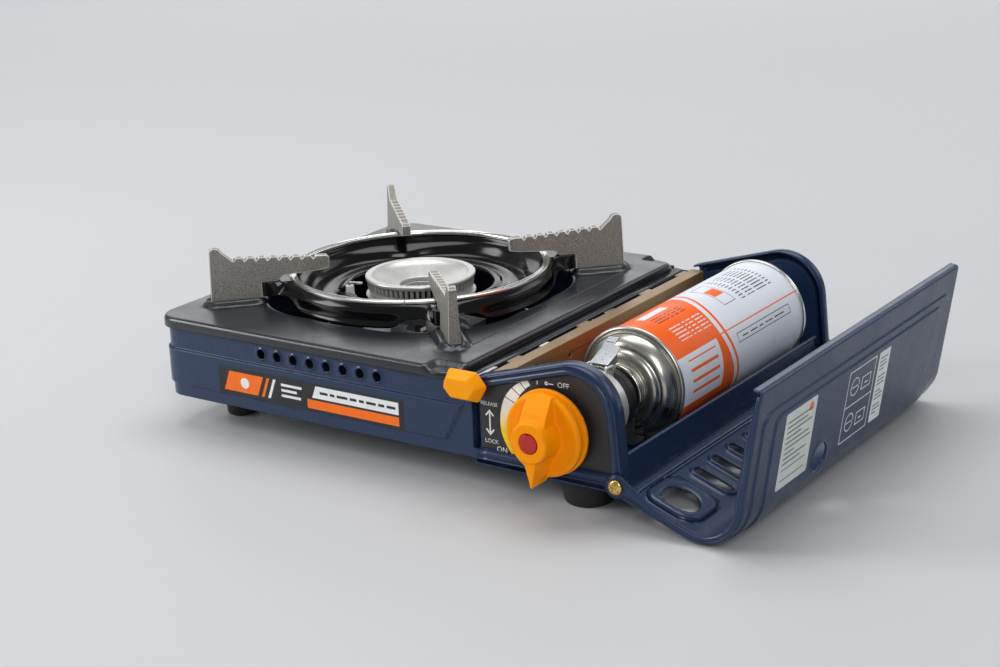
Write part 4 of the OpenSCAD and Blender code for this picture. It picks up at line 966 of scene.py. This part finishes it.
def lid_sheet():
    """The lid: two stepped panels, rolled ends and free edge, slots and hole with pressed rims, hinge ears."""
    full = FLAT + TURN + PANEL
    edge, end, roll, ear, low = 129.5, 131.5, 2.0, 7, 1.6
    hem = full - roll + roll * pi / 2 + 3.4
    slot_lip, slot_deep, shelf_deep, rim_high = 2.3, 1.7, 1.6, 0.5
    slots = [Slot(27.6 - LID_START, -66 + 21 * k, 9.5, 3.5, slot_lip) for k in range(8)]
    hole = Slot(26 - LID_START, -100.5, 0, 11.8, 1.2)
    shelf = Plateau(26 - LID_START, -99, 16, 17, 10, 1.8)
    vent = Slot(full - 66, -45.7, 0, 9, 1.4)

    def frame_in(s, y, low, high, half, r):
        ds, dy = min(s - low, high - s), half - abs(y)
        return r - hypot(r - ds, r - dy) if ds < r and dy < r else min(ds, dy)

    def place(s, w):
        y, deep, beyond = w, 0.0, 0.0
        if abs(w) > edge:
            a = min((abs(w) - edge) / roll, pi / 2)
            y, deep = copysign(edge + roll * sin(a), w), roll * (1 - cos(a))
        start = full - roll
        if s > start:
            a = min((s - start) / roll, pi / 2)
            beyond = roll * sin(a)
            deep += roll * (1 - cos(a)) + max(0.0, s - start - roll * pi / 2)
        (x, z), n = lid_line(min(s, start))
        out = LID_STEP * (smooth(frame_in(s, w, 4.0, full - 15, 122.5, 9) / 1.3 + 0.5)
                          + smooth(frame_in(s, w, 5.5, full - 20, 109.5, 6) / 1.3 + 0.5))
        if s < FLAT:
            out -= slot_deep * smooth(1 - min(f.away(s, w) for f in slots) / slot_lip)
            out -= shelf_deep * smooth(0.5 - shelf.away(s, w) / shelf.lip)
            out += rim_high * smooth(1 - hole.away(s, w) / hole.lip)
        out += rim_high * smooth(1 - vent.away(s, w) / vent.lip)
        out -= deep
        height = z + out * n[1] + beyond * n[0]
        # the underside of the bend is drawn in so that it stays above the table
        if height < low:
            height = lerp(low, height, 0.66)
        return x + out * n[0] - beyond * n[1], y, height

    s_lines = [0, 1.5, 2.6] + evenly(3.0, 6.6, 12) + evenly(8.5, FLAT, 12)
    s_lines += evenly(FLAT + 1.5, FLAT + TURN - 1.5, 26) + evenly(FLAT + TURN, full - 24, 9)
    s_lines += evenly(full - 21.4, full - 18.6, 8) + [full - 17.4] + evenly(full - 16.2, full - 13.8, 7)
    s_lines += [full - 10, full - 6, full - 3, full - 2] + evenly(full - 1.6, full - 2 + pi, 6) + [hem]
    half_lines = evenly(6, 102, 16) + [106] + evenly(108.2, 110.8, 8) + [113, 116.5, 120]
    half_lines += evenly(121.2, 123.8, 8) + [126, 128.4] + evenly(edge, edge + pi, 6)
    w_lines = [-w for w in half_lines[::-1]] + [0] + half_lines
    wide = edge + pi
    border_line = [(0, wide), (full - 3, wide), (full - 3, edge), (hem, edge)]
    outline = [(s, -w) for s, w in border_line] + border_line[::-1]
    skin = pressed(s_lines, w_lines, outline, slots + [hole, shelf, vent], place, flip=True)
    # turned-in ends with the ears of the hinge
    def inward(s, deep):
        (x, z), n = lid_line(s)
        return x - deep * n[0], z - deep * n[1]

    path = [s for s in s_lines if 3.2 < s < full - 4] + [full - 3.6]
    ends = [inward(s, roll) for s in path] + [inward(s, 4.5) for s in path[::-1] if 27 < s < full - 26]
    ends += [polar(HINGE_X, HINGE_Z, ear, a) for a in range(60, 290, 10)]
    screw = Slot(HINGE_X, HINGE_Z, 0, 2.06, 0.8)
    shapes = [skin]
    for way in (-1, 1):
        shapes.append(pressed([], [], ends, [screw], lambda x, z: (x, way * end, z), flip=way > 0))
    piece("lid_pressing", joined(*shapes), "lid", "navy_paint", "lid", thick=1.2, sharp=60)


def moulded_knob():
    """Moulded knob: grooved flange, sloping grip, boss with a recess for the plug and a pointed lower end."""
    back = -130.5
    disc_line = [(0.01, 0), (24.8, 0), (24.8, 1.9), (24.4, 2.5), (22.6, 2.7), (22.6, 3.9), (24.0, 4.3), (24.0, 7.2),
                 (23.2, 8.2), (21.8, 8.5), (19.5, 8.1), (0.01, 7.0)]
    boss_line = [(0.01, 5), (13.2, 5), (12.2, 9), (11.7, 21.5), (11.0, 22.4), (6.1, 22.4), (5.9, 20.1), (0.01, 20.1)]
    shapes = [turned([(r, back - h) for r, h in line], (KNOB_X, KNOB_Z)) for line in (disc_line, boss_line)]

    def ridge(sections):
        """A closed form through sections given as height, half width and depth in front, the same at the back."""
        loops = [[(KNOB_X + w, back - h, KNOB_Z + z) for w, h in ((-wb, hb), (wb, hb), (wf, hf), (-wf, hf))]
                 for z, wf, hf, wb, hb in sections]
        verts, faces = loft(loops)
        last = len(verts) - 4
        return verts, faces + [(3, 2, 1, 0), (last, last + 1, last + 2, last + 3)]

    shapes.append(ridge([(6.5, 8.2, 19.6, 9.2, 5), (15, 8.0, 15.4, 8.8, 5), (23.2, 7.6, 9.4, 8.2, 5)]))
    shapes.append(ridge([(-7, 5.0, 21.7, 9.6, 5), (-16, 2.7, 21.3, 5.6, 5), (-26.4, 0.4, 20.8, 0.7, 6)]))
    knob = piece("knob_moulding", joined(*shapes), "knob", "orange_plastic", "knob")
    skin = knob.modifiers.new("skin", "REMESH")
    skin.mode = "VOXEL"
    skin.voxel_size = 0.0004
    skin.use_smooth_shade = True
    evened = knob.modifiers.new("edges", "SMOOTH")
    evened.factor, evened.iterations = 0.5, 4


def front_label():
    """A generic label: dark ground, slanted colour fields and plain bars."""
    film("front_label_ground", "case", on_front, DARK, [rounded(-62, 80, 29.6, 47.4, 1.6)])
    film("front_label_orange", "case", layer(on_front), ORANGE,
         [box2(-58, -31, 32.2, 44.8, 5), box2(8, 76.5, 31.2, 36.8), box2(-28, -26, 32.2, 44.8, 5)])
    film("front_label_white", "case", layer(on_front), WHITE,
         [box2(-23, -21, 32.2, 44.8, 5), [(12, 38.2), (76.5, 38.2), (76.5, 45.8), (15, 45.8)],
          box2(-12, 4, 41.6, 43.2), box2(-12, 0, 38.2, 39.8), box2(-12, 3, 34.8, 36.4)])
    film("front_label_mark", "case", layer(on_front, 2), WHITE, [disc(-41, 38.5, 3.4)])
    bars, u = [], 18.0
    for w in (6, 3.4, 8, 5, 3.6, 7, 4.4, 6.4):
        bars.append(box2(u, u + w, 41.2, 42.8))
        u += w + 1.8
    film("front_label_bars", "case", layer(on_front, 2), DARK, bars)


def control_marks():
    """Marks for the lock lever and the knob."""
    shaft = [box2(139.6, 140.4, 38.4, 51.2)]
    for tip, way in ((52.6, -1), (37.0, 1)):
        shaft.append([(140, tip), (142.9, tip + way * 3.5), (142.3, tip + way * 4.1), (140, tip + way * 1.7),
                      (137.7, tip + way * 4.1), (137.1, tip + way * 3.5)])
    film("lock_arrow", "case", on_control, WHITE, shaft)
    for word in (("RELEASE", 3.1, 139.9, 55.8), ("LOCK", 3.4, 140.8, 33.6), ("ON", 4.6, 147.6, 29.6),
                 ("OFF", 4.4, 189.6, 74.4)):
        letters(*word)
    film("setting_arc", "case", on_control, ARC,
         [sector(KNOB_X, KNOB_Z, *row) for row in
          ((27.2, (30.6, 31.8), 122, 131, 4), (27.0, (31.9, 33.1), 132.2, 143, 5), (26.8, (33.2, 34.4), 144.2, 156, 5),
           (26.6, (34.5, 35.7), 157.0, 192, 14), (26.6, (35.7, 34.6), 192.0, 216, 12))])
    film("off_mark", "case", on_control, WHITE,
         [box2(172.4, 173.0, 72.6, 74.8), disc(178.6, 74.2, 1.15, 16), box2(178.6, 183.2, 73.9, 74.5)])


def lid_prints():
    """Plain stickers and generic diagrams on the lid's standing panel."""
    film("lid_sticker", "lid", on_lid, PAPER, [rounded(-98, -61, 1.5, 47, 1.5)])
    rows = [box2(-94.5, w - 94.5, 40.5 - 3.1 * k, 41.5 - 3.1 * k)
            for k, w in enumerate((29, 24, 30, 18, 28, 30, 12, 27, 21))]
    rows += [box2(-94.5, -66, 6.0, 6.7), box2(-94.5, -66, 12.2, 12.9)]
    film("lid_sticker_lines", "lid", layer(on_lid), GREY, rows)
    film("lid_sticker_dot", "lid", layer(on_lid), ORANGE, [disc(-67.5, 42.2, 2.6)])
    diagram = border(-20, 16, 1.5, 45.8) + [box2(-19.4, 15.4, 23.2, 23.8)]
    for cv in (12.6, 34.6):
        diagram += [sector(-10, cv, 5.0, 5.6, 0, 350, 28), box2(-14, -6, cv - 0.3, cv + 0.3),
                    *border(-1, 11, cv - 5, cv + 3), box2(3, 7, cv - 2, cv - 1.2)]
    film("lid_diagram", "lid", on_lid, WHITE, diagram)
    film("lid_band", "lid", on_lid, WHITE, [rounded(20, 35, 1.5, 45.8, 0.8)])
    film("lid_band_lines", "lid", layer(on_lid), GREY,
         [box2(22.5, 22.5 + w, v, v + 0.9) for v, w in
          ((41, 10), (38.6, 8), (36.2, 10), (33.8, 6), (29.4, 10), (27, 9), (24.6, 10), (20.2, 7), (17.8, 10),
           (15.4, 10), (11, 9), (8.6, 10), (6.2, 5))])
    film("lid_end_lines", "lid", on_lid, PALE,
         [box2(u, u + 0.8, 8, 8 + h) for u, h in ((99, 22), (101, 30), (103, 18), (105, 26))])


case_wall()
bottom_pressing()
lid_sheet()
moulded_knob()
front_label()
control_marks()
lid_prints()

# ---- camera, floor and light


def camera():
    """The photograph's own view: place, direction and lens come from measuring it."""
    azimuth, elevation, roll = radians(35.010), radians(17.848), radians(-2.416)
    focal_px, photo_px, sensor = 1961.6, 1000, 36
    forward = Vector((-sin(azimuth) * cos(elevation), cos(azimuth) * cos(elevation), -sin(elevation)))
    side = Vector((cos(azimuth), sin(azimuth), 0))
    up = side.cross(forward)
    right = side * cos(roll) + up * sin(roll)
    top = up * cos(roll) - side * sin(roll)
    data = bpy.data.cameras.new("camera")
    data.sensor_width = sensor
    data.lens = focal_px / photo_px * sensor
    data.clip_start, data.clip_end = 0.05, 60
    obj = linked("camera", data)
    turn = Matrix((right, top, -forward)).transposed().to_4x4()
    obj.matrix_world = Matrix.Translation(at(736.0, -964.5, 427.6)) @ turn
    bpy.context.scene.camera = obj


def area(name, place, target, size, power):
    data = bpy.data.lights.new(name, "AREA")
    data.shape = "RECTANGLE"
    data.size, data.size_y = size
    data.energy = power
    obj = linked(name, data)
    obj.visible_camera = False
    obj.location = place
    obj.rotation_euler = (Vector(target) - Vector(place)).to_track_quat("-Z", "Y").to_euler()


def studio():
    """A pale floor that ends in an even backdrop, a dim world and five soft lamps."""
    mesh = bpy.data.meshes.new("floor")
    size = 12
    mesh.from_pydata([(-size, -size, 0), (size, -size, 0), (size, size, 0), (-size, size, 0)], [], [(0, 1, 2, 3)])
    floor = linked("floor", mesh)
    n = Nodes("floor")
    n.set(color=n.mix(n.spread(n.noise(0.7, 2), 0, 1), srgb(192, 193, 195), srgb(196, 197, 198)),
          rough=n.spread(n.noise(300, 3), 0.5, 0.6), normal=n.bump(n.noise(900, 2), 0.03, 0.0001),
          specular=0.25)
    # far from the object the floor turns into an evenly lit backdrop, which metal shows too
    point = n.place()
    flat = n.math("SQRT", n.math("ADD", n.math("POWER", point["X"], 2.0), n.math("POWER", point["Y"], 2.0)))
    path = n.add("ShaderNodeLightPath")
    seen = n.math("ADD", path.outputs["Is Camera Ray"], n.math("ADD", path.outputs["Is Glossy Ray"],
                                                               path.outputs["Is Transmission Ray"]), clamp=True)
    glow = n.math("MULTIPLY", n.spread(flat, 0.0, 0.33, 0.45, 2.7), seen)
    n.feed(n.shader.inputs["Emission Strength"], glow)
    n.shader.inputs["Emission Color"].default_value = (0.93, 0.97, 1.0, 1.0)
    mesh.materials.append(n.mat)

    world = bpy.data.worlds.new("world")
    bpy.context.scene.world = world
    world.use_nodes = True
    background = world.node_tree.nodes["Background"].inputs
    background["Color"].default_value = (0.86, 0.9, 0.95, 1)
    background["Strength"].default_value = 0.3
    area("overhead", (-0.15, 0.25, 1.5), (0.05, 0, 0), (1.5, 0.9), 15)
    area("left", (-1.35, -0.95, 0.8), (0, 0, 0.05), (0.7, 1.0), 17)
    area("right", (1.1, -1.3, 1.0), (0.05, 0, 0.05), (0.5, 0.9), 10)
    area("rear_right", (1.5, 2.0, 1.25), (0.1, 0, 0.05), (2.2, 0.9), 9)
    area("rear", (-1.2, 1.75, 0.75), (0, 0, 0.05), (2.4, 0.9), 8)
    bpy.context.scene.view_settings.view_transform = "Standard"


camera()
studio()
